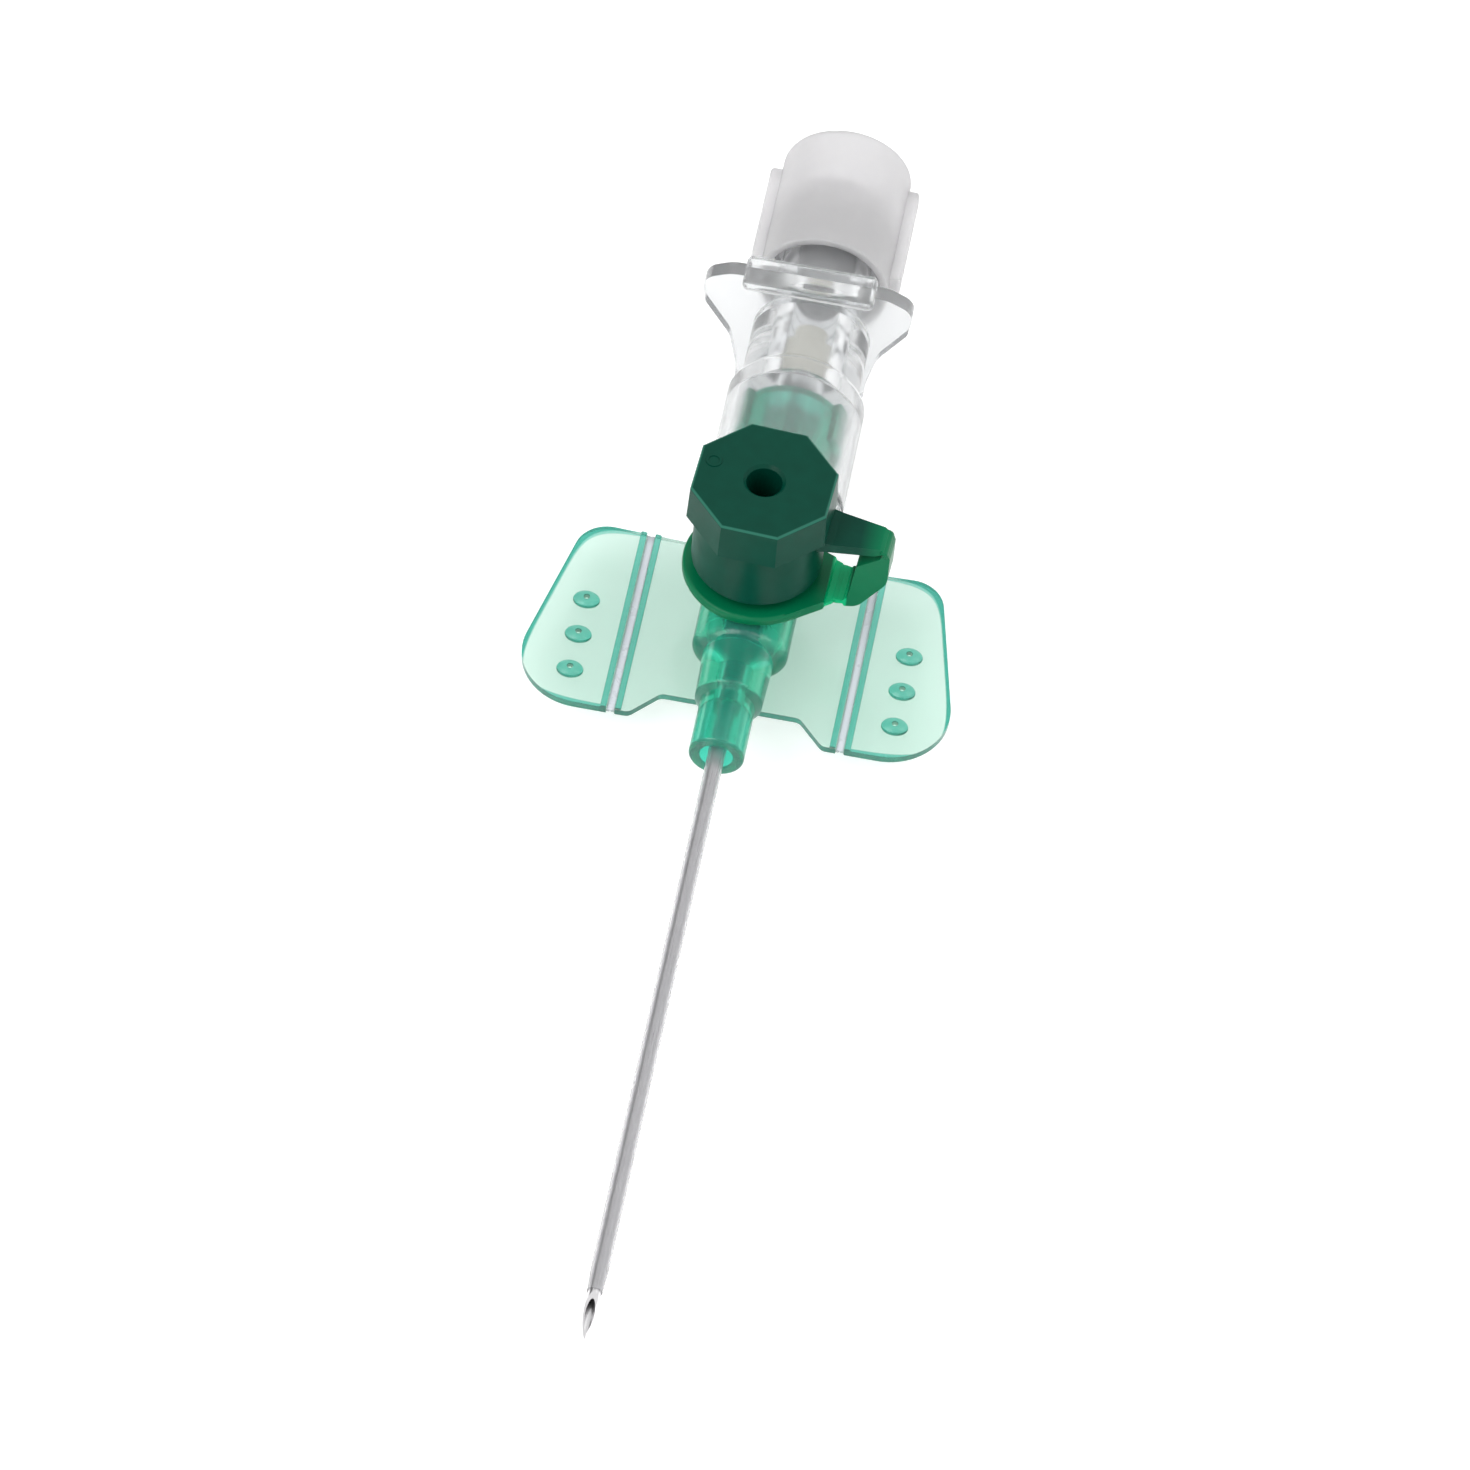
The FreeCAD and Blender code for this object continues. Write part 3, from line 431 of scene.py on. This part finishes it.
@dataclass(frozen=True)
class PlasticFinish:
    """Moulded plastic, from opaque to clear."""

    name: str
    colour: Colour
    second: Colour
    roughness: float
    rough_spread: float
    clear: float = 0.0
    refraction: float = 1.49
    bump: float = 0.02
    grain_share: float = 0.3
    depth_colour: Colour | None = None
    depth_density: float = 0.0
    # Colour of painted light where the plastic thins, and of painted shade on rims, ribs and studs.
    thin_light_colour: Colour | None = None
    rim_shade_colour: Colour | None = None
    thin_kind: str = "sheet"
    thin_values: tuple[tuple[str, float], ...] = ()
    # Colour of the painted highlight on the cap head's upper rim.
    edge_highlight_colour: Colour | None = None
    shine: float = 0.5
    scatter: float = 0.0
    scatter_depth: float = 1.0 * MM

    def build(self, groups: SurfaceGroups) -> bpy.types.Material:
        """Make the material.

        Args:
            groups: The shared surface effects.

        Returns:
            The finished material.
        """
        material, nodes = blank_material(self.name, self.colour)
        skin = nodes.add("ShaderNodeGroup", {"Grain share": self.grain_share}, node_tree=groups.moulded)
        haze = nodes.add("ShaderNodeGroup", node_tree=groups.handled)
        colour = self._tint(nodes, groups, skin.outputs["Mask"])
        rough = nodes.add("ShaderNodeMapRange", {"Value": haze.outputs["Mask"], "To Min": self.roughness,
                                                 "To Max": self.roughness + self.rough_spread})
        bump = nodes.add("ShaderNodeBump", {"Strength": self.bump, "Distance": SKIN_DEPTH,
                                            "Height": skin.outputs["Height"]})
        # Painted highlight: a lighter colour along the head's upper rim, laid over a bump that rounds it.
        if self.edge_highlight_colour is not None:
            rim = nodes.add("ShaderNodeGroup", node_tree=groups.rounded)
            colour = nodes.mix(rim.outputs["Mask"], colour, self.edge_highlight_colour)
            bump = nodes.add("ShaderNodeBump", {
                "Strength": 1.0, "Distance": 1.0, "Height": rim.outputs["Height"],
                "Normal": bump.outputs["Normal"]})
        surface = nodes.add("ShaderNodeBsdfPrincipled", {
            "Base Color": colour, "Roughness": rough.outputs["Result"], "Normal": bump.outputs["Normal"],
            "Metallic": 0.0, "Transmission Weight": self.clear, "IOR": self.refraction,
            "Specular IOR Level": self.shine, "Subsurface Weight": self.scatter,
            "Subsurface Radius": (1.0, 1.0, 1.0), "Subsurface Scale": self.scatter_depth,
        })
        out = nodes.add("ShaderNodeOutputMaterial", {"Surface": surface.outputs[0]})
        if self.depth_colour is not None:
            depth = nodes.add("ShaderNodeVolumeAbsorption", {"Color": self.depth_colour,
                                                             "Density": self.depth_density})
            nodes.join(depth.outputs[0], out.inputs["Volume"])
        return material

    def _tint(self, nodes: NodeTree, groups: SurfaceGroups,
              share: bpy.types.NodeSocket) -> bpy.types.NodeSocket:
        """Mix the two colours of the plastic, then lay the painted shade of rims and the painted light of
        thin places over them.

        Args:
            nodes: Tree of the material.
            groups: The shared surface effects.
            share: Mask between the two colours.

        Returns:
            The colour.
        """
        colour = nodes.mix(share, self.colour, self.second)
        if self.thin_light_colour is None:
            return colour
        thin = nodes.add("ShaderNodeGroup", dict(self.thin_values), node_tree=groups.thin[self.thin_kind])
        if self.rim_shade_colour is not None:
            colour = nodes.mix(thin.outputs["Rim"], colour, self.rim_shade_colour)
        return nodes.mix(thin.outputs["Mask"], colour, self.thin_light_colour)


@dataclass(frozen=True)
class SteelFinish:
    """Drawn stainless steel."""

    name: str
    colour: Colour
    second: Colour
    roughness: float
    rough_spread: float
    bump: float = 0.05

    def build(self, groups: SurfaceGroups) -> bpy.types.Material:
        """Make the material.

        Args:
            groups: The shared surface effects.

        Returns:
            The finished material.
        """
        material, nodes = blank_material(self.name, self.colour)
        lines = nodes.add("ShaderNodeGroup", node_tree=groups.drawn)
        height = lines.outputs["Height"]
        colour = nodes.mix(height, self.colour, self.second)
        rough = nodes.add("ShaderNodeMapRange", {"Value": height, "To Min": self.roughness,
                                                 "To Max": self.roughness + self.rough_spread})
        bump = nodes.add("ShaderNodeBump", {"Strength": self.bump, "Distance": DRAWN_DEPTH, "Height": height})
        surface = nodes.add("ShaderNodeBsdfPrincipled", {
            "Base Color": colour, "Roughness": rough.outputs["Result"], "Normal": bump.outputs["Normal"],
            "Metallic": 1.0,
        })
        nodes.add("ShaderNodeOutputMaterial", {"Surface": surface.outputs[0]})
        return material


HUB_DEPTH = (0.0, 0.783, 0.533, 1.0)
HUB_TEAL = (0.16, 0.84, 0.70, 1.0)
HUB_TEAL_DEEP = (0.13, 0.81, 0.66, 1.0)
# Painted light on thin sheet faces, and painted shade on the sheet's rims, ribs and studs.
SHEET_PAINTED_LIGHT = (0.83, 0.93, 0.88, 1.0)
SHEET_RIM_SHADE = (0.07, 0.47, 0.38, 1.0)


class Finish(Enum):
    """Every finish of the cannula, named after what it covers."""

    NEEDLE = SteelFinish("needle_steel", linear(240, 239, 240), linear(221, 220, 222), 0.22, 0.14)
    EYELET = SteelFinish("eyelet_steel", linear(180, 182, 186), linear(150, 152, 156), 0.28, 0.16)
    TUBE = PlasticFinish("catheter_clear", linear(233, 233, 234), linear(226, 226, 228), 0.12, 0.08,
                         clear=0.85, refraction=1.34, bump=0.01)
    # Hub and wings share the sheet masks: painted light on thin flat faces, the fold and stud pits, and
    # painted shade on rims, ribs and studs.
    HUB = PlasticFinish("hub_green", HUB_TEAL, HUB_TEAL_DEEP, 0.14, 0.10, clear=0.86,
                        depth_colour=HUB_DEPTH, depth_density=300.0, thin_light_colour=SHEET_PAINTED_LIGHT,
                        rim_shade_colour=SHEET_RIM_SHADE)
    WING = replace(HUB, name="wing_green")
    FOLD = PlasticFinish("fold_pale", linear(238, 240, 248), linear(232, 235, 244), 0.26, 0.10, clear=0.10)
    # Cap: a painted highlight on the head's upper rim, and painted light, a lighter green, where its arm
    # thins towards the corner fold.
    CAP = PlasticFinish("cap_green", linear(0, 69, 54), linear(0, 60, 46), 0.32, 0.10, bump=0.03,
                        grain_share=0.5, shine=0.14, edge_highlight_colour=linear(70, 148, 126),
                        thin_light_colour=linear(0, 118, 76), thin_kind="band",
                        thin_values=(("Film place", 9.6 * MM), ("Soft", 1.9 * MM), ("Top", 20.0 * MM)))
    # Strap and film: brighter green painted for light passing through the thin film and the strap next to it.
    STRAP = PlasticFinish("strap_green", linear(0, 115, 74), linear(0, 106, 68), 0.28, 0.10, bump=0.03,
                          shine=0.20, thin_light_colour=linear(0, 186, 122), thin_kind="band")
    FILM = PlasticFinish("film_green_painted_light", linear(0, 186, 122), linear(0, 176, 114), 0.28, 0.10, bump=0.03,
                         shine=0.20)
    SILICONE = PlasticFinish("silicone_milky", linear(225, 230, 228), linear(214, 222, 220), 0.45, 0.1,
                             clear=0.25)
    CLEAR = PlasticFinish("hub_clear", linear(242, 243, 244), linear(238, 240, 241), 0.13, 0.06, clear=0.90,
                          refraction=1.45, bump=0.01, grain_share=0.1)
    CREAM = PlasticFinish("holder_cream", linear(250, 247, 236), linear(243, 239, 226), 0.42, 0.12)
    FROSTED = PlasticFinish("stopper_frosted", linear(231, 230, 231), linear(226, 225, 227), 0.50, 0.12,
                            clear=0.45, refraction=1.42, bump=0.08, grain_share=0.7, scatter=1.0,
                            scatter_depth=2.6 * MM)
    FILTER = PlasticFinish("filter_white", linear(220, 220, 218), linear(196, 196, 194), 0.8, 0.1, bump=0.5,
                           grain_share=0.9)


class Wardrobe:
    """Builds each finish once and puts it on pieces."""

    def __init__(self) -> None:
        """Build the shared groups and every material."""
        groups = SurfaceGroups()
        self.materials = {finish: finish.value.build(groups) for finish in Finish}

    def dress_node(self, node: str, finish: Finish) -> bpy.types.Object:
        """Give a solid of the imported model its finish.

        Args:
            node: Name of the solid.
            finish: The finish it gets.

        Returns:
            The solid's object.
        """
        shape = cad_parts[node]
        material = self.materials[finish]
        if not shape.material_slots:
            shape.data.materials.append(material)
        for place in shape.material_slots:
            place.material = material
        LOG.info("dressed %s as %s", node, finish.value.name)
        return shape


class Catheter:
    """Green hub with its valve, clear tube and eyelet."""

    def dress(self, wardrobe: Wardrobe) -> None:
        """Put the finishes on the hub's pieces."""
        wardrobe.dress_node("catheter_hub", Finish.HUB)
        wardrobe.dress_node("catheter_tube", Finish.TUBE)
        wardrobe.dress_node("catheter_eyelet", Finish.EYELET)
        wardrobe.dress_node("port_valve", Finish.SILICONE)


def closed_mesh(name: str, rings: list[list[Vector]]) -> bpy.types.Object:
    """Skin a row of equal rings of points and close both ends.

    Args:
        name: Name of the object.
        rings: Rings of points, each running the same way round.

    Returns:
        The object, linked to the scene, with its faces outward.
    """
    mesh = bmesh.new()
    rows = [[mesh.verts.new(point) for point in ring] for ring in rings]
    count = len(rows[0])
    for row, following in zip(rows, rows[1:]):
        for index in range(count):
            after = (index + 1) % count
            mesh.faces.new((row[index], row[after], following[after], following[index]))
    mesh.faces.new(list(reversed(rows[0])))
    mesh.faces.new(rows[-1])
    bmesh.ops.recalc_face_normals(mesh, faces=mesh.faces)
    data = bpy.data.meshes.new(name)
    mesh.to_mesh(data)
    mesh.free()
    data.shade_smooth()
    piece = bpy.data.objects.new(name, data)
    bpy.context.scene.collection.objects.link(piece)
    return piece


@dataclass
class FilmHinge:
    """Thin bridge of plastic across a folding slit, drawn as a path with a thickness and a width."""

    name: str
    parents: tuple[Body, Body]
    path: list[Vector]
    half_thickness: float
    along: Vector
    spans: tuple[float, float]
    blend_from: Vector
    blend_to: Vector
    fading: float = 0.80
    cuts: int = 16

    def build(self, wardrobe: Wardrobe, finish: Finish) -> bpy.types.Object:
        """Make the bridge.

        Args:
            wardrobe: Source of the finish.
            finish: The finish it gets.

        Returns:
            The finished piece.
        """
        offsets = self._offsets()
        rings = []
        for cut in range(self.cuts + 1):
            share = cut / self.cuts
            shift = self.along * (self.spans[0] + share * (self.spans[1] - self.spans[0]))
            upper = [point + side + shift for point, side in zip(self.path, offsets)]
            lower = [point - side + shift for point, side in zip(self.path, offsets)]
            rings.append(upper + lower[::-1])
        piece = closed_mesh(self.name, rings)
        piece.data.materials.append(wardrobe.materials[finish])
        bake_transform(piece)
        return piece

    def _offsets(self) -> list[Vector]:
        """Work out how far the upper face lies from each point of the path.

        Returns:
            One offset for each point, thinner at both ends so that they sink into the solids.
        """
        offsets = []
        last = len(self.path) - 1
        for index in range(len(self.path)):
            before, after = self.path[max(index - 1, 0)], self.path[min(index + 1, last)]
            outward = self.along.cross(after - before).normalized()
            edge = index in (0, last)
            offsets.append(outward * self.half_thickness * (self.fading if edge else 1.0))
        return offsets


@dataclass
class Wings:
    """The two folding wing panels and the films that join them to the hub's roots."""

    plan: WingPlan = WING_PLAN
    film_half_thickness: float = 0.106 * MM
    film_half_width: float = 0.27 * MM
    bend_reach: float = 0.10 * MM
    film_steps: int = 10
    inset: float = 0.04 * MM

    def dress(self, wardrobe: Wardrobe) -> None:
        """Put the finish on both panels and bridge their folds."""
        for node, body, side in (("right_wing", Body.RIGHT_WING, 1), ("left_wing", Body.LEFT_WING, -1)):
            wing = wardrobe.dress_node(node, Finish.WING)
            self._fold_film(wardrobe, wing, body, side)

    def _fold_film(self, wardrobe: Wardrobe, wing: bpy.types.Object, body: Body, side: int) -> None:
        """Bridge one fold.

        Args:
            wardrobe: Source of the finish.
            wing: The panel beyond the fold.
            body: The body of that panel.
            side: 1 on the right, -1 on the left.
        """
        fold, height = self.plan.fold_place, self.plan.thickness / 2
        lip = [corner.co.y for corner in wing.data.vertices if abs(abs(corner.co.x) - fold) < self.bend_reach]
        path = []
        for step in range(self.film_steps + 1):
            across = (2 * step / self.film_steps - 1) * self.film_half_width
            path.append(Vector((side * (fold + across), 0.0, height)))
        FilmHinge(
            name=f"{body.value}_fold_film", parents=(Body.CATHETER, body), path=path,
            half_thickness=self.film_half_thickness, along=Vector((0.0, 1.0, 0.0)),
            spans=(min(lip) + self.inset, max(lip) - self.inset),
            blend_from=Vector((side * (fold - self.bend_reach), 0.0, height)),
            blend_to=Vector((side * (fold + self.bend_reach), 0.0, height)),
        ).build(wardrobe, Finish.FOLD)


@dataclass
class PortClosure:
    """Cap of the injection port with its strap, its ring and the films between them."""

    clock_deg: float = -2.8
    ring_hinge_x: float = 5.90 * MM
    ring_middle_z: float = 6.24 * MM
    fold_hinge_x: float = 9.00 * MM
    fold_hinge_z: float = 11.64 * MM
    film_half_thickness: float = 0.155 * MM
    ring_film_half_width: float = 0.22 * MM
    corner_radius: float = 0.30 * MM
    corner_tail: float = 0.10 * MM
    corner_steps: int = 8
    inset: float = 0.03 * MM

    def dress(self, wardrobe: Wardrobe) -> None:
        """Put the finishes on cap, strap and ring and bridge their hinges."""
        wardrobe.dress_node("port_cap", Finish.CAP)
        strap = wardrobe.dress_node("cap_strap", Finish.STRAP)
        wardrobe.dress_node("cap_ring", Finish.STRAP)
        turn = math.radians(self.clock_deg)
        outward = Vector((math.cos(turn), math.sin(turn), 0.0))
        along = Vector((-math.sin(turn), math.cos(turn), 0.0))
        self._ring_film(wardrobe, strap, outward, along)
        self._fold_film(wardrobe, strap, outward, along)

    def _width_at(self, strap: bpy.types.Object, along: Vector, low: float,
                  high: float) -> tuple[float, float]:
        """Measure how far the strap reaches along its hinge between two heights.

        Args:
            strap: The strap's object.
            along: Direction of the hinge.
            low: Lower height.
            high: Upper height.

        Returns:
            Both ends along the hinge, drawn in by the inset.
        """
        reaches = [corner.co.dot(along) for corner in strap.data.vertices if low < corner.co.z < high]
        return (min(reaches) + self.inset, max(reaches) - self.inset)

    def _ring_film(self, wardrobe: Wardrobe, strap: bpy.types.Object, outward: Vector,
                   along: Vector) -> None:
        """Bridge the slit between ring and strap.

        Args:
            wardrobe: Source of the finish.
            strap: The strap's object.
            outward: Direction from the port to the strap.
            along: Direction of the hinge.
        """
        up = UP * self.ring_middle_z
        path = []
        for step in range(self.corner_steps + 1):
            across = (2 * step / self.corner_steps - 1) * self.ring_film_half_width
            path.append(outward * (self.ring_hinge_x + across) + up)
        reach = self.ring_film_half_width / 2
        near = [corner.co.dot(along) for corner in strap.data.vertices
                if corner.co.dot(outward) < self.ring_hinge_x + 2 * self.ring_film_half_width]
        FilmHinge(
            name="ring_film", parents=(Body.RING, Body.STRAP), path=path,
            half_thickness=self.film_half_thickness, along=along,
            spans=(min(near) + self.inset, max(near) - self.inset),
            blend_from=outward * (self.ring_hinge_x - reach) + up,
            blend_to=outward * (self.ring_hinge_x + reach) + up,
        ).build(wardrobe, Finish.FILM)

    def _fold_film(self, wardrobe: Wardrobe, strap: bpy.types.Object, outward: Vector,
                   along: Vector) -> None:
        """Bridge the corner between strap and cap with a quarter turn.

        Args:
            wardrobe: Source of the finish.
            strap: The strap's object.
            outward: Direction from the port to the strap.
            along: Direction of the hinge.
        """
        radius = self.corner_radius
        middle = outward * (self.fold_hinge_x - radius) + UP * (self.fold_hinge_z - radius)
        path = [middle + outward * radius - UP * self.corner_tail]
        for step in range(self.corner_steps + 1):
            angle = step / self.corner_steps * math.pi / 2
            path.append(middle + (outward * math.cos(angle) + UP * math.sin(angle)) * radius)
        path.append(middle + UP * radius - outward * self.corner_tail)
        top = max(corner.co.z for corner in strap.data.vertices)
        FilmHinge(
            name="fold_film", parents=(Body.STRAP, Body.CAP), path=path,
            half_thickness=self.film_half_thickness, along=along,
            spans=self._width_at(strap, along, top - 2 * radius, top + MM),
            blend_from=path[1], blend_to=path[-2],
        ).build(wardrobe, Finish.STRAP)


class NeedleAssembly:
    """Needle, clear hub and holder."""

    def dress(self, wardrobe: Wardrobe) -> None:
        """Put the finishes on needle, hub and holder."""
        wardrobe.dress_node("needle", Finish.NEEDLE)
        wardrobe.dress_node("needle_hub", Finish.CLEAR)
        wardrobe.dress_node("needle_holder", Finish.CREAM)


@dataclass
class SinteredBeads:
    """Beads of the porous filter, scattered over its faces by Geometry Nodes."""

    bead_radius: float = 0.13 * MM
    rise: float = 0.015 * MM
    smallest: float = 0.75
    spacing: float = 0.165 * MM
    density: float = 9.0e7
    sides: int = 48
    segments: int = 8
    rings: int = 6
    seed: int = 7

    def build(self, material: bpy.types.Material, filter_shape: bpy.types.Object) -> bpy.types.Object:
        """Cover the filter with beads.

        Args:
            material: The beads' material.
            filter_shape: The filter's solid.

        Returns:
            One plain mesh of all beads.
        """
        corners = [corner.co for corner in filter_shape.data.vertices]
        low, high = min(corner.y for corner in corners), max(corner.y for corner in corners)
        radius = max(corner.x for corner in corners)
        inset = self.bead_radius - self.rise
        host = bpy.data.objects.new("bead_host", bpy.data.meshes.new("bead_host"))
        bpy.context.scene.collection.objects.link(host)
        modifier = host.modifiers.new("beads", "NODES")
        modifier.node_group = self._tree(material)
        values = {"Radius": radius - inset, "Length": high - low - 2 * inset, "Middle": (low + high) / 2,
                  "Bead radius": self.bead_radius, "Smallest": self.smallest, "Spacing": self.spacing,
                  "Density": self.density, "Seed": self.seed}
        for socket in modifier.node_group.interface.items_tree:
            if socket.item_type == "SOCKET" and socket.in_out == "INPUT" and socket.name in values:
                modifier[socket.identifier] = values[socket.name]
        bpy.context.view_layer.update()
        posed = host.evaluated_get(bpy.context.evaluated_depsgraph_get())
        mesh = bpy.data.meshes.new_from_object(posed)
        mesh.name = "filter_beads"
        beads = bpy.data.objects.new("filter_beads", mesh)
        bpy.context.scene.collection.objects.link(beads)
        bpy.data.objects.remove(host)
        LOG.info("filter has %d faces of beads", len(mesh.polygons))
        return beads

    def _tree(self, material: bpy.types.Material) -> bpy.types.NodeTree:
        """Lay out the nodes that scatter the beads.

        The random value's sockets share their names, so they are picked by their place.

        Args:
            material: The beads' material.

        Returns:
            The tree.
        """
        tree = bpy.data.node_groups.new("sintered_beads", "GeometryNodeTree")
        tree.interface.new_socket("Geometry", in_out="INPUT", socket_type="NodeSocketGeometry")
        for label in ("Radius", "Length", "Middle", "Bead radius", "Smallest", "Spacing", "Density"):
            tree.interface.new_socket(label, in_out="INPUT", socket_type="NodeSocketFloat")
        tree.interface.new_socket("Seed", in_out="INPUT", socket_type="NodeSocketInt")
        tree.interface.new_socket("Geometry", in_out="OUTPUT", socket_type="NodeSocketGeometry")
        nodes = NodeTree(tree)
        given = nodes.add("NodeGroupInput").outputs
        body = nodes.add("GeometryNodeMeshCylinder", {"Vertices": self.sides, "Radius": given["Radius"],
                                                      "Depth": given["Length"]})
        middle = nodes.add("ShaderNodeCombineXYZ", {"Y": given["Middle"], "Z": AXIS_Z})
        laid = nodes.add("GeometryNodeTransform", {"Geometry": body.outputs["Mesh"],
                                                   "Translation": middle.outputs[0],
                                                   "Rotation": (math.pi / 2, 0.0, 0.0)})
        points = nodes.add("GeometryNodeDistributePointsOnFaces", {
            "Mesh": laid.outputs["Geometry"], "Distance Min": given["Spacing"],
            "Density Max": given["Density"], "Seed": given["Seed"]}, distribute_method="POISSON")
        bead = nodes.add("GeometryNodeMeshUVSphere", {"Segments": self.segments, "Rings": self.rings,
                                                      "Radius": given["Bead radius"]})
        smooth = nodes.add("GeometryNodeSetShadeSmooth", {"Geometry": bead.outputs["Mesh"]})
        size = nodes.add("FunctionNodeRandomValue", {2: given["Smallest"], 3: 1.0, "Seed": given["Seed"]},
                         data_type="FLOAT")
        placed = nodes.add("GeometryNodeInstanceOnPoints", {
            "Points": points.outputs["Points"], "Instance": smooth.outputs[0],
            "Rotation": points.outputs["Rotation"], "Scale": size.outputs[1]})
        real = nodes.add("GeometryNodeRealizeInstances", {"Geometry": placed.outputs[0]})
        dressed = nodes.add("GeometryNodeSetMaterial", {"Geometry": real.outputs[0], "Material": material})
        nodes.add("NodeGroupOutput", {"Geometry": dressed.outputs[0]})
        return tree


@dataclass
class Stopper:
    """Frosted stopper and its vent filter."""

    beads: SinteredBeads = field(default_factory=SinteredBeads)

    def dress(self, wardrobe: Wardrobe) -> None:
        """Put the finishes on stopper and filter and cover the filter with beads."""
        wardrobe.dress_node("luer_stopper", Finish.FROSTED)
        core = wardrobe.dress_node("vent_filter", Finish.FILTER)
        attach(self.beads.build(wardrobe.materials[Finish.FILTER], core), Body.VENT.value)


@dataclass
class Studio:
    """Pale floor, soft lights and the photograph's camera."""

    azimuth_deg: float = 5.304
    elevation_deg: float = 52.0
    roll_deg: float = 5.975
    distance: float = 0.600
    target: tuple[float, float, float] = (0.947 * MM, -12.446 * MM, AXIS_Z)
    focal_px: float = 8787.0
    frame_px: float = 1470.0
    sensor_mm: float = 36.0
    clip_start: float = 0.01
    floor_z: float = -2.42 * MM
    floor_half: float = 3.0
    floor_base: float = 0.70
    floor_rough: float = 0.9
    floor_shine: float = 0.1
    floor_glow: float = 0.55
    air_light: float = 0.80
    dim_light: float = 0.03
    dim_towards: tuple[float, float, float] = (-0.73, 0.61, 0.30)
    dim_inner_deg: float = 8.0
    dim_outer_deg: float = 28.0
    key_place: tuple[float, float, float] = (-0.38, -0.32, 0.62)
    key_size: float = 0.55
    key_power: float = 2.6
    fill_place: tuple[float, float, float] = (0.50, 0.10, 0.66)
    fill_size: float = 0.50
    fill_power: float = 1.4

    def build(self) -> None:
        """Make the floor, the lights and the camera."""
        self._floor()
        self._lights()
        self._camera()

    def _floor(self) -> None:
        """Lay a large pale floor under the part."""
        mesh = bpy.data.meshes.new("studio_floor")
        half = self.floor_half
        corners = [(-half, -half, self.floor_z), (half, -half, self.floor_z), (half, half, self.floor_z),
                   (-half, half, self.floor_z)]
        mesh.from_pydata(corners, [], [(0, 1, 2, 3)])
        floor = bpy.data.objects.new("studio_floor", mesh)
        bpy.context.scene.collection.objects.link(floor)
        material = bpy.data.materials.new("studio_paper")
        material.use_nodes = True
        surface = material.node_tree.nodes["Principled BSDF"]
        surface.inputs["Base Color"].default_value = (self.floor_base,) * 3 + (1.0,)
        surface.inputs["Roughness"].default_value = self.floor_rough
        surface.inputs["Specular IOR Level"].default_value = self.floor_shine
        surface.inputs["Emission Color"].default_value = (1.0, 1.0, 1.0, 1.0)
        surface.inputs["Emission Strength"].default_value = self.floor_glow
        mesh.materials.append(material)

    def _light(self, name: str, place: tuple[float, float, float], size: float, power: float) -> None:
        """Hang one soft square light that faces the part.

        Args:
            name: Name of the light.
            place: Where it hangs.
            size: Length of its side.
            power: Its power in watts.
        """
        data = bpy.data.lights.new(name, "AREA")
        data.shape = "SQUARE"
        data.size = size
        data.energy = power
        lamp = bpy.data.objects.new(name, data)
        aim = (-Vector(place)).to_track_quat("-Z", "Y").to_matrix().to_4x4()
        lamp.matrix_world = Matrix.Translation(place) @ aim
        bpy.context.scene.collection.objects.link(lamp)

    def _air(self) -> None:
        """Surround the part with pale light, dimmer in one soft patch behind it."""
        world = bpy.data.worlds.new("studio_air")
        world.use_nodes = True
        nodes = NodeTree(world.node_tree)
        place = nodes.add("ShaderNodeTexCoord")
        patch = nodes.add("ShaderNodeVectorMath", {0: place.outputs["Generated"]}, operation="DOT_PRODUCT")
        patch.inputs[1].default_value = Vector(self.dim_towards).normalized()
        fade = nodes.add("ShaderNodeMapRange", {"Value": patch.outputs["Value"],
                                                "From Min": math.cos(math.radians(self.dim_outer_deg)),
                                                "From Max": math.cos(math.radians(self.dim_inner_deg)),
                                                "To Min": self.air_light, "To Max": self.dim_light},
                         interpolation_type="SMOOTHSTEP")
        nodes.join(fade.outputs["Result"], world.node_tree.nodes["Background"].inputs["Strength"])
        world.node_tree.nodes["Background"].inputs["Color"].default_value = (1.0, 1.0, 1.0, 1.0)
        bpy.context.scene.world = world

    def _lights(self) -> None:
        """Hang two large soft lights and fill the room with even light."""
        self._air()
        self._light("key_light", self.key_place, self.key_size, self.key_power)
        self._light("fill_light", self.fill_place, self.fill_size, self.fill_power)
        bpy.context.scene.view_settings.view_transform = "Standard"

    def _camera(self) -> None:
        """Stand the camera where the photograph was taken from."""
        azimuth = math.radians(self.azimuth_deg)
        elevation = math.radians(self.elevation_deg)
        roll = math.radians(self.roll_deg)
        back = Vector((math.sin(azimuth) * math.cos(elevation), -math.cos(azimuth) * math.cos(elevation),
                       math.sin(elevation)))
        right = Vector((math.cos(azimuth), math.sin(azimuth), 0.0))
        up = back.cross(right)
        rolled_right = math.cos(roll) * right + math.sin(roll) * up
        rolled_up = -math.sin(roll) * right + math.cos(roll) * up
        place = Vector(self.target) + back * self.distance
        turn = Matrix((rolled_right, rolled_up, back)).transposed().to_4x4()
        data = bpy.data.cameras.new("photo_camera")
        data.sensor_width = self.sensor_mm
        data.lens = self.focal_px / self.frame_px * self.sensor_mm
        data.clip_start = self.clip_start
        camera = bpy.data.objects.new("photo_camera", data)
        camera.matrix_world = Matrix.Translation(place) @ turn
        bpy.context.scene.collection.objects.link(camera)
        bpy.context.scene.camera = camera


def main() -> None:
    """Dress the cannula and set up the studio."""
    logging.basicConfig(level=logging.INFO, format="%(message)s")
    wardrobe = Wardrobe()
    for assembly in (Catheter(), Wings(), PortClosure(), NeedleAssembly(), Stopper()):
        assembly.dress(wardrobe)
    Studio().build()


if __name__ == "__main__":
    main()
